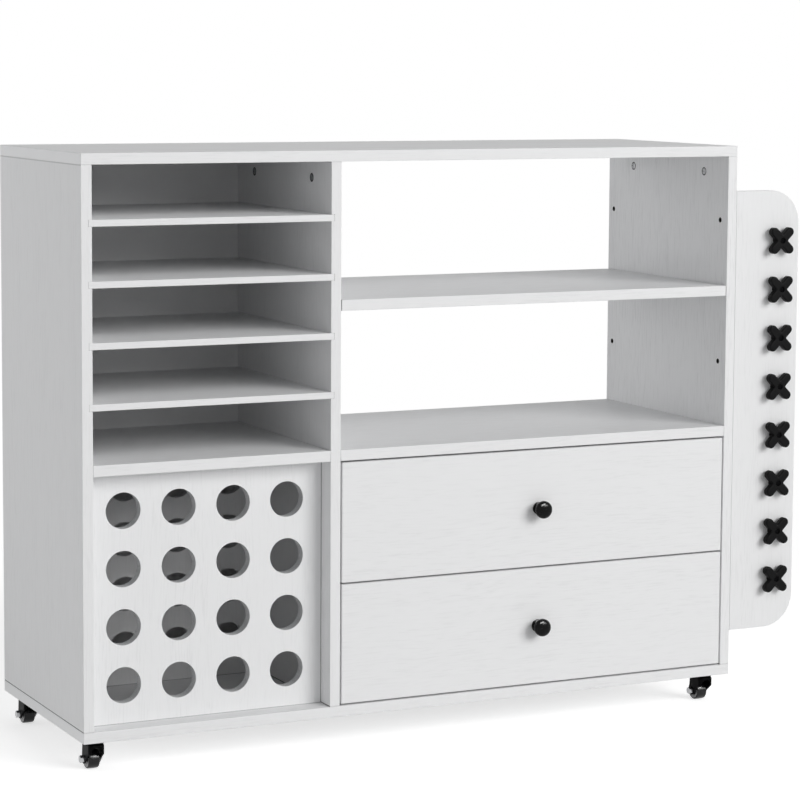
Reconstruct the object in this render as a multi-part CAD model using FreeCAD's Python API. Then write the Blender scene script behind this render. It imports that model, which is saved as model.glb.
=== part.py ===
"""Rolling craft cart: a board cabinet on four swivel casters.

The left column has five low bays over a block of sixteen round roll holes. The right column has two
open bays, one of them on an adjustable shelf, over two drawers. A narrow peg panel is hinged to the
right side. The cabinet is first laid out with X from its left side, Y from its front edges and Z from
the floor. At the end every piece is moved so that the origin is the middle of the footprint.
"""
import FreeCAD, Part
import math
import os

V = FreeCAD.Vector
UP = V(0, 0, 1)
TINY = 1e-6

# Cabinet sizes, in millimetres
CABINET_WIDTH = 1000.0
CABINET_DEPTH = 340.0
CABINET_HEIGHT = 777.0
BOARD = 15.0
EDGE_ROUND = 0.7
LEFT_BAY_WIDTH = 340.0
LOWER_BAY_HEIGHT = 339.5
BACK_SHEET = 3.0
BACK_INSET = 8.0
GROOVE_DEPTH = 5.0
GROOVE_CLEARANCE = 0.1
BACK_TO_SHELF_GAP = 0.2

# Thin shelves of the left column
THIN_SHELF = 9.0
THIN_SHELF_COUNT = 4

# Roll holes
ROLL_HOLE = 49.0
ROLL_PITCH_X = 78.6
ROLL_PITCH_Z = 78.4
ROLL_COLUMNS = 4
ROLL_ROWS = 4
ROLL_FRONT_RECESS = 30.0
ROLL_REAR_FROM_BACK = 74.0

# Adjustable shelf on pins
PIN_ROW_ABOVE_DECK = 93.0
PIN_ROW_PITCH = 103.3
PIN_ROWS = 3
SHELF_ROW = 1
PIN_INSET_FRONT = 20.0
PIN_INSET_BACK = 15.0
PIN_DIAMETER = 6.35
PIN_IN_PANEL = 9.0
PIN_IN_SHELF = 8.0
PIN_HOLE_EXTRA = 0.5
PIN_HOLE_CLEARANCE = 0.05
SHELF_SIDE_CLEARANCE = 0.8
PIN_NOTCH_DEPTH = 9.175
PIN_NOTCH_SIDE_CLEARANCE = 0.3

# Cam fittings and dowels
CAM_DIAMETER = 12.0
CAM_LENGTH = 12.0
CAM_FROM_EDGE = 24.0
CAM_CLEARANCE = 0.15
CAM_SLOT = 1.6
CAM_SLOT_LENGTH = 9.0
CAM_SLOT_DEPTH = 1.0
CAM_INSET_FRONT = 66.0
CAM_INSET_BACK = 73.0
CAM_BOLT_SHANK = 4.0
CAM_BOLT_THREAD = 6.0
CAM_BOLT_THREAD_LENGTH = 10.0
CAM_BOLT_HEAD = 6.6
CAM_BOLT_HEAD_LENGTH = 3.0
CAM_BOLT_HOLE_CLEARANCE = 0.4
DOWEL_DIAMETER = 6.0
DOWEL_IN_SHELF = 17.5
DOWEL_WEB = 1.0
DOWEL_IN_TOP = 10.0
DOWEL_IN_SIDE = 14.0
DOWEL_INSET_FRONT = 33.0
DOWEL_INSET_BACK = 40.0
PANEL_DOWEL_INSET = 20.0

# Drawers
DRAWER_COUNT = 2
FRONT_GAP = 2.5
DRAWER_WALL = 12.0
DRAWER_BOTTOM = 3.0
DRAWER_BOX_HEIGHT = 120.0
DRAWER_BOX_ABOVE_FRONT_EDGE = 14.0
DRAWER_BACK_CLEARANCE = 24.0
DRAWER_BOTTOM_INSET = 10.0
DRAWER_TRAVEL = 230.0

# Drawer rails
RAIL_SPACE = 12.5
RAIL_SHEET = 1.2
RAIL_HEIGHT = 36.0
RAIL_FRONT_INSET = 3.0
RAIL_BACK_INSET = 7.0
RAIL_STOP_WIDTH = 8.0
RAIL_STOP_CLEARANCE = 0.3
RAIL_CABINET_FLANGE = 8.5
RAIL_DRAWER_FLANGE = 8.5
RAIL_RUNNING_GAP = 0.3
RAIL_SCREW_INSET = 34.0

# Knobs
KNOB_PROJECTION = 24.0
KNOB_HEAD = 25.0
KNOB_HEAD_LENGTH = 16.0
KNOB_SIDE_RADIUS = 7.0
KNOB_COLLAR = 16.4
KNOB_NECK = 13.0
KNOB_COLLAR_LENGTH = 3.0
KNOB_SCREW = 4.0
KNOB_SCREW_HEAD = 8.0
KNOB_SCREW_HEAD_LENGTH = 2.5
KNOB_SCREW_IN_KNOB = 12.0
KNOB_SCREW_END_GAP = 1.0

# Wood screws
SCREW = 3.5
SCREW_LENGTH = 12.0
SCREW_HEAD = 7.0
SCREW_HEAD_LENGTH = 2.0
SCREW_HOLE_CLEARANCE = 0.2
HEAD_ROUND_SHARE = 0.6
RECESS_LENGTH = 3.4
RECESS_WIDTH = 0.8
RECESS_DEPTH = 1.2

# Peg panel
WING_WIDTH = 108.0
WING_HEIGHT = 646.0
WING_BOARD = 12.0
WING_GAP = 0.2
WING_CORNER = 48.0

# Pegs
PEG_COUNT = 8
PEG_PITCH = 71.5
PEG_FROM_OUTER_EDGE = 36.2
PEG_SPAN = 38.4
PEG_ARM = 13.0
PEG_THICKNESS = 9.5
PEG_STANDOFF = 5.0
PEG_BOSS = 17.0
PEG_EDGE_ROUND = 1.4
PEG_SCREW = 4.0
PEG_SCREW_HEAD = 8.0
PEG_SCREW_HEAD_LENGTH = 2.6
PEG_SCREW_SINK = 4.0
PEG_SCREW_IN_PANEL = 9.0
PEG_HOLE_CLEARANCE = 0.2

# Hinges
HINGE_COUNT = 3
HINGE_LENGTH = 60.0
HINGE_END_INSET = 60.0
HINGE_LEAF = 1.5
HINGE_LEAF_WIDTH = 22.0
HINGE_KNUCKLE = 7.0
HINGE_PIN = 3.0
HINGE_BORE_CLEARANCE = 0.06
HINGE_KNUCKLE_GAP = 0.3
HINGE_OFFSET = 0.3
HINGE_KNUCKLES = 3
HINGE_SCREW_INSET = 12.0

# Casters
CASTER_HEIGHT = 44.0
CASTER_INSET_X = 25.5
CASTER_INSET_Y = 33.5
CASTER_TRAIL = 10.0
CASTER_PLATE = 38.0
CASTER_PLATE_THICKNESS = 2.0
CASTER_PLATE_CORNER = 4.0
CASTER_SCREW_SPACING = 28.0
CASTER_RACE = 30.0
CASTER_RACE_HEIGHT = 2.2
CASTER_RACE_GAP = 0.3
KINGPIN = 6.0
KINGPIN_HEAD = 10.0
KINGPIN_HEAD_HEIGHT = 1.6
KINGPIN_CLEARANCE = 0.06
FORK_WIDTH = 22.5
FORK_SHEET = 2.0
FORK_LENGTH = 29.0
FORK_FRONT_DROP = 13.0
FORK_ARCH_SHOULDER = 0.5
FORK_BOSS = 13.0
FORK_EDGE_ROUND = 1.5
WHEEL_DIAMETER = 27.0
WHEEL_WIDTH = 16.0
WHEEL_EDGE_ROUND = 1.6
WHEEL_HUB = 22.6
WHEEL_HUB_RECESS = 0.8
WHEEL_BOSS = 9.0
AXLE = 5.0
AXLE_CLEARANCE = 0.06
AXLE_HEAD_FLATS = 9.0
AXLE_HEAD_LENGTH = 5.0
AXLE_NUT_FLATS = 7.0
AXLE_NUT_LENGTH = 3.0

# Levels and faces that several pieces share
FLOOR_BOARD_Z = CASTER_HEIGHT
FLOOR_TOP_Z = FLOOR_BOARD_Z + BOARD
TOP_Z = FLOOR_BOARD_Z + CABINET_HEIGHT
TOP_UNDER_Z = TOP_Z - BOARD
DECK_UNDER_Z = FLOOR_TOP_Z + LOWER_BAY_HEIGHT
DECK_Z = DECK_UNDER_Z + BOARD
LEFT_FACE_X = BOARD
DIVIDER_X = LEFT_FACE_X + LEFT_BAY_WIDTH
DIVIDER_RIGHT_X = DIVIDER_X + BOARD
RIGHT_FACE_X = CABINET_WIDTH - BOARD
BACK_SHEET_Y = CABINET_DEPTH - BACK_INSET - BACK_SHEET
LEFT_SHELF_BACK_Y = BACK_SHEET_Y - BACK_TO_SHELF_GAP
THIN_CLEAR = (TOP_UNDER_Z - DECK_Z - THIN_SHELF_COUNT * THIN_SHELF) / (THIN_SHELF_COUNT + 1)
SHELF_PIN_Z = DECK_Z + PIN_ROW_ABOVE_DECK + SHELF_ROW * PIN_ROW_PITCH
SHELF_UNDER_Z = SHELF_PIN_Z + PIN_DIAMETER / 2 - PIN_NOTCH_DEPTH
PIN_Y = (PIN_INSET_FRONT, CABINET_DEPTH - PIN_INSET_BACK)
CAM_Y = (CAM_INSET_FRONT, CABINET_DEPTH - CAM_INSET_BACK)
DOWEL_Y = (DOWEL_INSET_FRONT, CABINET_DEPTH - DOWEL_INSET_BACK)
ROLL_PANEL_Y = (ROLL_FRONT_RECESS, BACK_SHEET_Y - ROLL_REAR_FROM_BACK - BOARD)
DRAWER_BACK_Y = BACK_SHEET_Y - DRAWER_BACK_CLEARANCE
RAIL_FRONT_Y = BOARD + RAIL_FRONT_INSET
RAIL_BACK_Y = DRAWER_BACK_Y - RAIL_BACK_INSET
FRONT_HEIGHT = (LOWER_BAY_HEIGHT - (DRAWER_COUNT + 1) * FRONT_GAP) / DRAWER_COUNT
WING_X = CABINET_WIDTH + WING_GAP
WING_RIGHT_X = WING_X + WING_WIDTH
WING_MID_Z = FLOOR_BOARD_Z + CABINET_HEIGHT / 2
HINGE_AXIS_X = CABINET_WIDTH + HINGE_KNUCKLE / 2 + HINGE_OFFSET
HINGE_AXIS_Y = WING_BOARD + HINGE_KNUCKLE / 2 + HINGE_OFFSET
FOOTPRINT_MIDDLE = V(WING_RIGHT_X / 2, (CABINET_DEPTH - KNOB_PROJECTION) / 2, 0)

os.makedirs("parts", exist_ok=True)
made = []


def keep(name, *shapes):
    """Moves a node's solids so that the footprint's middle is the origin, and writes them."""
    solids = [solid for shape in shapes for solid in shape.Solids]
    whole = solids[0] if len(solids) == 1 else Part.makeCompound(solids)
    whole = whole.copy()
    whole.translate(FOOTPRINT_MIDDLE * -1)
    whole.exportStep("parts/" + name + ".step")
    made.append(name)
    box = whole.BoundBox
    print(name, len(solids), "solid(s)", [round(c, 1) for c in (box.XLength, box.YLength, box.ZLength)])


def block(x0, x1, y0, y1, z0, z1):
    """A plain box between two corners."""
    return Part.makeBox(x1 - x0, y1 - y0, z1 - z0, V(x0, y0, z0))


def board(x0, x1, y0, y1, z0, z1):
    """A board with all its edges slightly eased."""
    plain = block(x0, x1, y0, y1, z0, z1)
    return plain.makeFillet(EDGE_ROUND, plain.Edges)


def rod(radius, start, direction, length):
    """A round bar from a point along a direction."""
    return Part.makeCylinder(radius, length, start, direction)


def cut(shape, tools):
    """Takes all tools from a shape in one step."""
    return shape.cut(Part.makeCompound(tools)) if tools else shape


def hexagon(flats, start, direction, length):
    """A hexagonal bar, as the head of a bolt or a nut."""
    corner = flats / math.sqrt(3)
    points = [V(corner * math.cos(math.radians(60 * i)), corner * math.sin(math.radians(60 * i)), 0)
              for i in range(7)]
    bar = Part.Face(Part.makePolygon(points)).extrude(V(0, 0, length))
    bar.Placement = FreeCAD.Placement(start, FreeCAD.Rotation(UP, direction))
    return bar


def screw_shank(diameter, length):
    """A screw's shank from the origin up, ending in a blunt cone as long as its radius."""
    straight = length - diameter / 2
    tip = Part.makeCone(diameter / 2, diameter / 8, diameter / 2, V(0, 0, straight), UP)
    return rod(diameter / 2, V(0, 0, 0), UP, straight).fuse(tip).removeSplitter()


def pan_screw(diameter, length, head, head_length, seat, direction):
    """A cross-headed screw whose head rests at seat and whose shank runs along direction."""
    dome = rod(head / 2, V(0, 0, -head_length), UP, head_length)
    rim = [edge for edge in dome.Edges if abs(edge.CenterOfMass.z + head_length) < TINY]
    dome = dome.makeFillet(head_length * HEAD_ROUND_SHARE, rim)
    arm = RECESS_LENGTH / 2
    half = RECESS_WIDTH / 2
    top = -head_length - TINY
    recess_end = RECESS_DEPTH - head_length
    recess = [block(-arm, arm, -half, half, top, recess_end), block(-half, half, -arm, arm, top, recess_end)]
    screw = cut(screw_shank(diameter, length).fuse(dome).removeSplitter(), recess)
    screw.Placement = FreeCAD.Placement(seat, FreeCAD.Rotation(UP, direction))
    return screw


def wood_screw(seat, direction):
    """The one small wood screw that holds rails, hinges and caster plates."""
    return pan_screw(SCREW, SCREW_LENGTH, SCREW_HEAD, SCREW_HEAD_LENGTH, seat, direction)


def screw_hole(seat, direction):
    """The hole that the small wood screw cuts, from the seat of its head."""
    hole = screw_shank(SCREW, SCREW_LENGTH)
    hole.Placement = FreeCAD.Placement(seat, FreeCAD.Rotation(UP, direction))
    return hole


def clear_hole(seat, direction, length):
    """A hole with room for a small wood screw through a sheet, past both its faces."""
    return rod(SCREW / 2 + SCREW_HOLE_CLEARANCE, seat - direction * length, direction, 2 * length)


# Back sheets and the grooves that hold them
def sheet_groove(x0, x1, z0, z1):
    """The groove round a back sheet, a little larger than the sheet's own edges."""
    c = GROOVE_CLEARANCE
    return block(x0 - c, x1 + c, BACK_SHEET_Y - c, BACK_SHEET_Y + BACK_SHEET + c, z0 - c, z1 + c)


left_sheet = (LEFT_FACE_X - GROOVE_DEPTH, DIVIDER_X + GROOVE_DEPTH,
              FLOOR_TOP_Z - GROOVE_DEPTH, TOP_UNDER_Z + GROOVE_DEPTH)
drawer_sheet = (DIVIDER_RIGHT_X - GROOVE_DEPTH, RIGHT_FACE_X + GROOVE_DEPTH,
                FLOOR_TOP_Z - GROOVE_DEPTH, DECK_UNDER_Z + GROOVE_DEPTH)
sheet_grooves = [sheet_groove(*left_sheet), sheet_groove(*drawer_sheet)]


# Thin shelves and the grooves that carry them
def thin_shelf_z(index):
    """Underside of a thin shelf, counted from the top."""
    return TOP_UNDER_Z - (index + 1) * (THIN_CLEAR + THIN_SHELF)


thin_shelf_x = (LEFT_FACE_X - GROOVE_DEPTH, DIVIDER_X + GROOVE_DEPTH)
thin_grooves = [
    block(thin_shelf_x[0] - GROOVE_CLEARANCE, thin_shelf_x[1] + GROOVE_CLEARANCE,
          -1, LEFT_SHELF_BACK_Y + GROOVE_CLEARANCE,
          thin_shelf_z(i), thin_shelf_z(i) + THIN_SHELF + GROOVE_CLEARANCE)
    for i in range(THIN_SHELF_COUNT)]


# Cam fittings: a bolt in the top or bottom board, caught by a cam in an upright
def cam_site(face_x, inward, y, up):
    """Where one cam sits: the upright's face, the side it opens to, and the board above or below."""
    joint_z = TOP_UNDER_Z if up > 0 else FLOOR_TOP_Z
    return V(face_x, y, joint_z - up * CAM_FROM_EDGE), V(-inward, 0, 0), up, joint_z


cam_sites = [cam_site(face_x, inward, y, up)
             for face_x, inward in ((LEFT_FACE_X, 1), (DIVIDER_X, -1), (RIGHT_FACE_X, -1))
             for y in CAM_Y for up in (1, -1)]


def cam_axis_point(site):
    """The point in the middle of the upright's thickness where bolt and cam meet."""
    face, into, up, joint_z = site
    return face + into * (BOARD / 2)


def cam_pocket(site):
    """The round pocket of a cam, and the hole from the upright's end to it."""
    face, into, up, joint_z = site
    middle = cam_axis_point(site)
    hole = rod(CAM_BOLT_HEAD / 2 + CAM_BOLT_HOLE_CLEARANCE, middle, V(0, 0, up), CAM_FROM_EDGE)
    return rod(CAM_DIAMETER / 2 + CAM_CLEARANCE, face, into, CAM_LENGTH).fuse(hole)


def cam_lock(site):
    """A cam with its slot for the bolt's head and a cross slot in its face."""
    face, into, up, joint_z = site
    middle = cam_axis_point(site)
    cam = rod(CAM_DIAMETER / 2, face, into, CAM_LENGTH)
    room = CAM_BOLT_HEAD / 2 + CAM_BOLT_HOLE_CLEARANCE
    axis = V(0, 0, up)
    slot = rod(room, middle - axis * (CAM_BOLT_HEAD_LENGTH / 2 + CAM_CLEARANCE), axis, CAM_DIAMETER)
    arm = CAM_SLOT_LENGTH / 2
    half = CAM_SLOT / 2
    bar_z = block(face.x - CAM_SLOT_DEPTH, face.x + CAM_SLOT_DEPTH, face.y - half, face.y + half,
                  face.z - arm, face.z + arm)
    bar_y = block(face.x - CAM_SLOT_DEPTH, face.x + CAM_SLOT_DEPTH, face.y - arm, face.y + arm,
                  face.z - half, face.z + half)
    return cut(cam, [slot, bar_z, bar_y])


def cam_bolt(site):
    """The bolt: a head inside the cam, a thin shank, and a thread in the board."""
    face, into, up, joint_z = site
    middle = cam_axis_point(site)
    axis = V(0, 0, up)
    head = rod(CAM_BOLT_HEAD / 2, middle - axis * (CAM_BOLT_HEAD_LENGTH / 2), axis, CAM_BOLT_HEAD_LENGTH)
    shank = rod(CAM_BOLT_SHANK / 2, middle, axis, CAM_FROM_EDGE)
    thread = rod(CAM_BOLT_THREAD / 2, middle + axis * CAM_FROM_EDGE, axis, CAM_BOLT_THREAD_LENGTH)
    return head.fuse([shank, thread]).removeSplitter()


def cam_thread_hole(site):
    """The hole in the top or bottom board for the bolt's thread."""
    face, into, up, joint_z = site
    middle = cam_axis_point(site)
    axis = V(0, 0, up)
    return rod(CAM_BOLT_THREAD / 2, middle + axis * CAM_FROM_EDGE, axis, CAM_BOLT_THREAD_LENGTH)


# Dowels: upright to top or bottom board, and shelf or roll panel to upright
def upright_dowels():
    """Dowels through the ends of the three uprights."""
    pegs = []
    for middle_x in (BOARD / 2, DIVIDER_X + BOARD / 2, CABINET_WIDTH - BOARD / 2):
        for y in DOWEL_Y:
            for joint_z, up in ((TOP_UNDER_Z, 1), (FLOOR_TOP_Z, -1)):
                start = V(middle_x, y, joint_z - up * DOWEL_IN_SIDE)
                pegs.append(rod(DOWEL_DIAMETER / 2, start, V(0, 0, up), DOWEL_IN_SIDE + DOWEL_IN_TOP))
    return pegs


def end_dowels(x0, x1, places):
    """Dowels at both ends of a shelf or panel that spans x0 to x1, at (y, z) places."""
    in_panel = BOARD / 2 - DOWEL_WEB
    return [rod(DOWEL_DIAMETER / 2, V(start_x, y, z), V(1, 0, 0), in_panel + DOWEL_IN_SHELF)
            for y, z in places for start_x in (x0 - in_panel, x1 - DOWEL_IN_SHELF)]


shelf_dowel_places = [(y, DECK_UNDER_Z + BOARD / 2) for y in DOWEL_Y]
fixed_shelf_dowels = end_dowels(LEFT_FACE_X, DIVIDER_X, shelf_dowel_places)
deck_dowels = end_dowels(DIVIDER_RIGHT_X, RIGHT_FACE_X, shelf_dowel_places)
roll_dowels = end_dowels(LEFT_FACE_X, DIVIDER_X, [
    (panel_y + BOARD / 2, z)
    for panel_y in ROLL_PANEL_Y
    for z in (FLOOR_TOP_Z + PANEL_DOWEL_INSET, DECK_UNDER_Z - PANEL_DOWEL_INSET)])
standing_dowels = upright_dowels()
all_dowels = standing_dowels + fixed_shelf_dowels + deck_dowels + roll_dowels


# Shelf pins
def pin_holes(face_x, into):
    """Rows of blind holes in an upright that faces the right column."""
    return [rod(PIN_DIAMETER / 2 + PIN_HOLE_CLEARANCE,
                V(face_x, y, DECK_Z + PIN_ROW_ABOVE_DECK + row * PIN_ROW_PITCH),
                V(into, 0, 0), PIN_IN_PANEL + PIN_HOLE_EXTRA)
            for row in range(PIN_ROWS) for y in PIN_Y]


# Drawer levels and rails
def front_z(index):
    """Lower edge of a drawer front, counted from the bottom."""
    return FLOOR_TOP_Z + FRONT_GAP + index * (FRONT_HEIGHT + FRONT_GAP)


def box_z(index):
    """Lower edge of a drawer's box."""
    return front_z(index) + DRAWER_BOX_ABOVE_FRONT_EDGE


def rail_z(index):
    """Middle of a drawer's rails."""
    return box_z(index) + DRAWER_BOX_HEIGHT / 2


def rail_screw_y():
    """Where the two screws of each rail lie."""
    return (RAIL_FRONT_Y + RAIL_SCREW_INSET, RAIL_BACK_Y - RAIL_SCREW_INSET)


def channel(face_x, side, flange, half_height, z_middle, stop_y):
    """A C-shaped rail whose web lies on face_x and whose flanges point to side, with one stop tab."""
    far = face_x + side * flange
    outer = block(min(face_x, far), max(face_x, far), RAIL_FRONT_Y, RAIL_BACK_Y,
                  z_middle - half_height, z_middle + half_height)
    inner_face = face_x + side * RAIL_SHEET
    beyond = far + side
    hollow = block(min(inner_face, beyond), max(inner_face, beyond), RAIL_FRONT_Y - 1, RAIL_BACK_Y + 1,
                   z_middle - half_height + RAIL_SHEET, z_middle + half_height - RAIL_SHEET)
    holes = [clear_hole(V(face_x, y, z_middle), V(side, 0, 0), 2 * RAIL_SHEET) for y in rail_screw_y()]
    tab = block(min(face_x, far), max(face_x, far), stop_y, stop_y + RAIL_SHEET,
                z_middle - RAIL_STOP_WIDTH / 2, z_middle + RAIL_STOP_WIDTH / 2)
    return cut(outer, [hollow] + holes).fuse(tab).removeSplitter()


cabinet_rail_faces = ((DIVIDER_RIGHT_X, 1), (RIGHT_FACE_X, -1))
cabinet_rail_screws = [
    (V(face_x + side * RAIL_SHEET, y, rail_z(i)), V(-side, 0, 0))
    for i in range(DRAWER_COUNT) for face_x, side in cabinet_rail_faces for y in rail_screw_y()]


# Hinge places
def hinge_z(index):
    """Lower end of a hinge, with the hinges spread evenly over the panel's height."""
    low = WING_MID_Z - WING_HEIGHT / 2 + HINGE_END_INSET
    high = WING_MID_Z + WING_HEIGHT / 2 - HINGE_END_INSET - HINGE_LENGTH
    return low + index * (high - low) / (HINGE_COUNT - 1)


def hinge_screw_heights(index):
    """Heights of a leaf's two screws."""
    return (hinge_z(index) + HINGE_SCREW_INSET, hinge_z(index) + HINGE_LENGTH - HINGE_SCREW_INSET)


leaf_middle = HINGE_KNUCKLE / 2 + (HINGE_LEAF_WIDTH - HINGE_KNUCKLE / 2) / 2
fixed_hinge_screws = [(V(CABINET_WIDTH + HINGE_LEAF, HINGE_AXIS_Y + leaf_middle, z), V(-1, 0, 0))
                      for i in range(HINGE_COUNT) for z in hinge_screw_heights(i)]
wing_hinge_screws = [(V(HINGE_AXIS_X + leaf_middle, WING_BOARD + HINGE_LEAF, z), V(0, -1, 0))
                     for i in range(HINGE_COUNT) for z in hinge_screw_heights(i)]

# Caster places: name, swivel axis X and Y
casters = [
    ("front_left", CASTER_INSET_X, CASTER_INSET_Y),
    ("front_right", CABINET_WIDTH - CASTER_INSET_X, CASTER_INSET_Y),
    ("back_left", CASTER_INSET_X, CABINET_DEPTH - CASTER_INSET_Y),
    ("back_right", CABINET_WIDTH - CASTER_INSET_X, CABINET_DEPTH - CASTER_INSET_Y)]
half_spacing = CASTER_SCREW_SPACING / 2
caster_screws = [
    (V(x + sx * half_spacing, y + sy * half_spacing, FLOOR_BOARD_Z - CASTER_PLATE_THICKNESS), UP)
    for name, x, y in casters for sx in (-1, 1) for sy in (-1, 1)]

# Top and bottom boards
top = board(0, CABINET_WIDTH, 0, CABINET_DEPTH, TOP_UNDER_Z, TOP_Z)
top_cam_holes = [cam_thread_hole(site) for site in cam_sites if site[2] > 0]
keep("top_board", cut(top, sheet_grooves + top_cam_holes + standing_dowels))

bottom = board(0, CABINET_WIDTH, 0, CABINET_DEPTH, FLOOR_BOARD_Z, FLOOR_TOP_Z)
bottom_cam_holes = [cam_thread_hole(site) for site in cam_sites if site[2] < 0]
bottom_screw_holes = [screw_hole(seat, way) for seat, way in caster_screws]
keep("bottom_board", cut(bottom, sheet_grooves + bottom_cam_holes + bottom_screw_holes + standing_dowels))

# Uprights
left = board(0, LEFT_FACE_X, 0, CABINET_DEPTH, FLOOR_TOP_Z, TOP_UNDER_Z)
left_cams = [cam_pocket(site) for site in cam_sites if site[0].x == LEFT_FACE_X]
keep("left_side_panel", cut(left, thin_grooves + sheet_grooves + left_cams + all_dowels))

divider = board(DIVIDER_X, DIVIDER_RIGHT_X, 0, CABINET_DEPTH, FLOOR_TOP_Z, TOP_UNDER_Z)
divider_cams = [cam_pocket(site) for site in cam_sites if site[0].x == DIVIDER_X]
rail_holes = [screw_hole(seat, way) for seat, way in cabinet_rail_screws]
keep("divider_panel", cut(divider, thin_grooves + sheet_grooves + divider_cams + all_dowels
                          + pin_holes(DIVIDER_RIGHT_X, -1) + rail_holes))

right = board(RIGHT_FACE_X, CABINET_WIDTH, 0, CABINET_DEPTH, FLOOR_TOP_Z, TOP_UNDER_Z)
right_cams = [cam_pocket(site) for site in cam_sites if site[0].x == RIGHT_FACE_X]
hinge_holes = [screw_hole(seat, way) for seat, way in fixed_hinge_screws]
keep("right_side_panel", cut(right, sheet_grooves + right_cams + all_dowels
                             + pin_holes(RIGHT_FACE_X, 1) + rail_holes + hinge_holes))

# Back sheets
for name, (x0, x1, z0, z1) in (("left_back_panel", left_sheet), ("drawer_bay_back_panel", drawer_sheet)):
    keep(name, block(x0, x1, BACK_SHEET_Y, BACK_SHEET_Y + BACK_SHEET, z0, z1))

# Thin shelves
for i in range(THIN_SHELF_COUNT):
    z = thin_shelf_z(i)
    keep("thin_shelf_" + str(i + 1), board(*thin_shelf_x, 0, LEFT_SHELF_BACK_Y, z, z + THIN_SHELF))

# Fixed shelf and the deck over the drawers
fixed_shelf = board(LEFT_FACE_X, DIVIDER_X, 0, LEFT_SHELF_BACK_Y, DECK_UNDER_Z, DECK_Z)
keep("fixed_shelf", cut(fixed_shelf, fixed_shelf_dowels))
deck = board(DIVIDER_RIGHT_X, RIGHT_FACE_X, 0, CABINET_DEPTH, DECK_UNDER_Z, DECK_Z)
keep("drawer_deck", cut(deck, deck_dowels + [sheet_groove(*drawer_sheet)]))

# Roll panels
roll_mid_x = (LEFT_FACE_X + DIVIDER_X) / 2
roll_mid_z = (FLOOR_TOP_Z + DECK_UNDER_Z) / 2
for name, panel_y in zip(("roll_panel_front", "roll_panel_rear"), ROLL_PANEL_Y):
    holes = [rod(ROLL_HOLE / 2,
                 V(roll_mid_x + (i - (ROLL_COLUMNS - 1) / 2) * ROLL_PITCH_X, panel_y - 1,
                   roll_mid_z + (j - (ROLL_ROWS - 1) / 2) * ROLL_PITCH_Z), V(0, 1, 0), BOARD + 2)
             for i in range(ROLL_COLUMNS) for j in range(ROLL_ROWS)]
    panel = block(LEFT_FACE_X, DIVIDER_X, panel_y, panel_y + BOARD, FLOOR_TOP_Z, DECK_UNDER_Z)
    keep(name, cut(panel, holes + roll_dowels))

# Adjustable shelf and its pins
shelf_x = (DIVIDER_RIGHT_X + SHELF_SIDE_CLEARANCE, RIGHT_FACE_X - SHELF_SIDE_CLEARANCE)
shelf = board(*shelf_x, 0, CABINET_DEPTH, SHELF_UNDER_Z, SHELF_UNDER_Z + BOARD)
half_notch = PIN_DIAMETER / 2 + PIN_NOTCH_SIDE_CLEARANCE
notch_length = PIN_IN_SHELF + 1
notches = []
pins = []
for y in PIN_Y:
    for face_x, side in cabinet_rail_faces:
        inner = face_x + side * notch_length
        notches.append(block(min(face_x, inner), max(face_x, inner), y - half_notch, y + half_notch,
                             SHELF_UNDER_Z - 1, SHELF_UNDER_Z + PIN_NOTCH_DEPTH))
        pins.append(rod(PIN_DIAMETER / 2, V(face_x - side * PIN_IN_PANEL, y, SHELF_PIN_Z), V(side, 0, 0),
                        PIN_IN_PANEL + PIN_IN_SHELF))
keep("adjustable_shelf", cut(shelf, notches))
keep("shelf_pins", *pins)

# Cam fittings and dowels
keep("cam_locks", *[cam_lock(site) for site in cam_sites])
keep("cam_bolts", *[cam_bolt(site) for site in cam_sites])
keep("wood_dowels", *all_dowels)

# Cabinet rails, and the screws of the rails, hinges and casters
half_rail = RAIL_HEIGHT / 2
drawer_stop_y = RAIL_BACK_Y - RAIL_SHEET
cabinet_stop_y = drawer_stop_y - DRAWER_TRAVEL - RAIL_STOP_CLEARANCE - RAIL_SHEET
keep("cabinet_rails", *[channel(face_x, side, RAIL_CABINET_FLANGE, half_rail, rail_z(i), cabinet_stop_y)
                        for i in range(DRAWER_COUNT) for face_x, side in cabinet_rail_faces])
keep("cabinet_screws", *[wood_screw(seat, way)
                         for seat, way in cabinet_rail_screws + fixed_hinge_screws + caster_screws])


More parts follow.
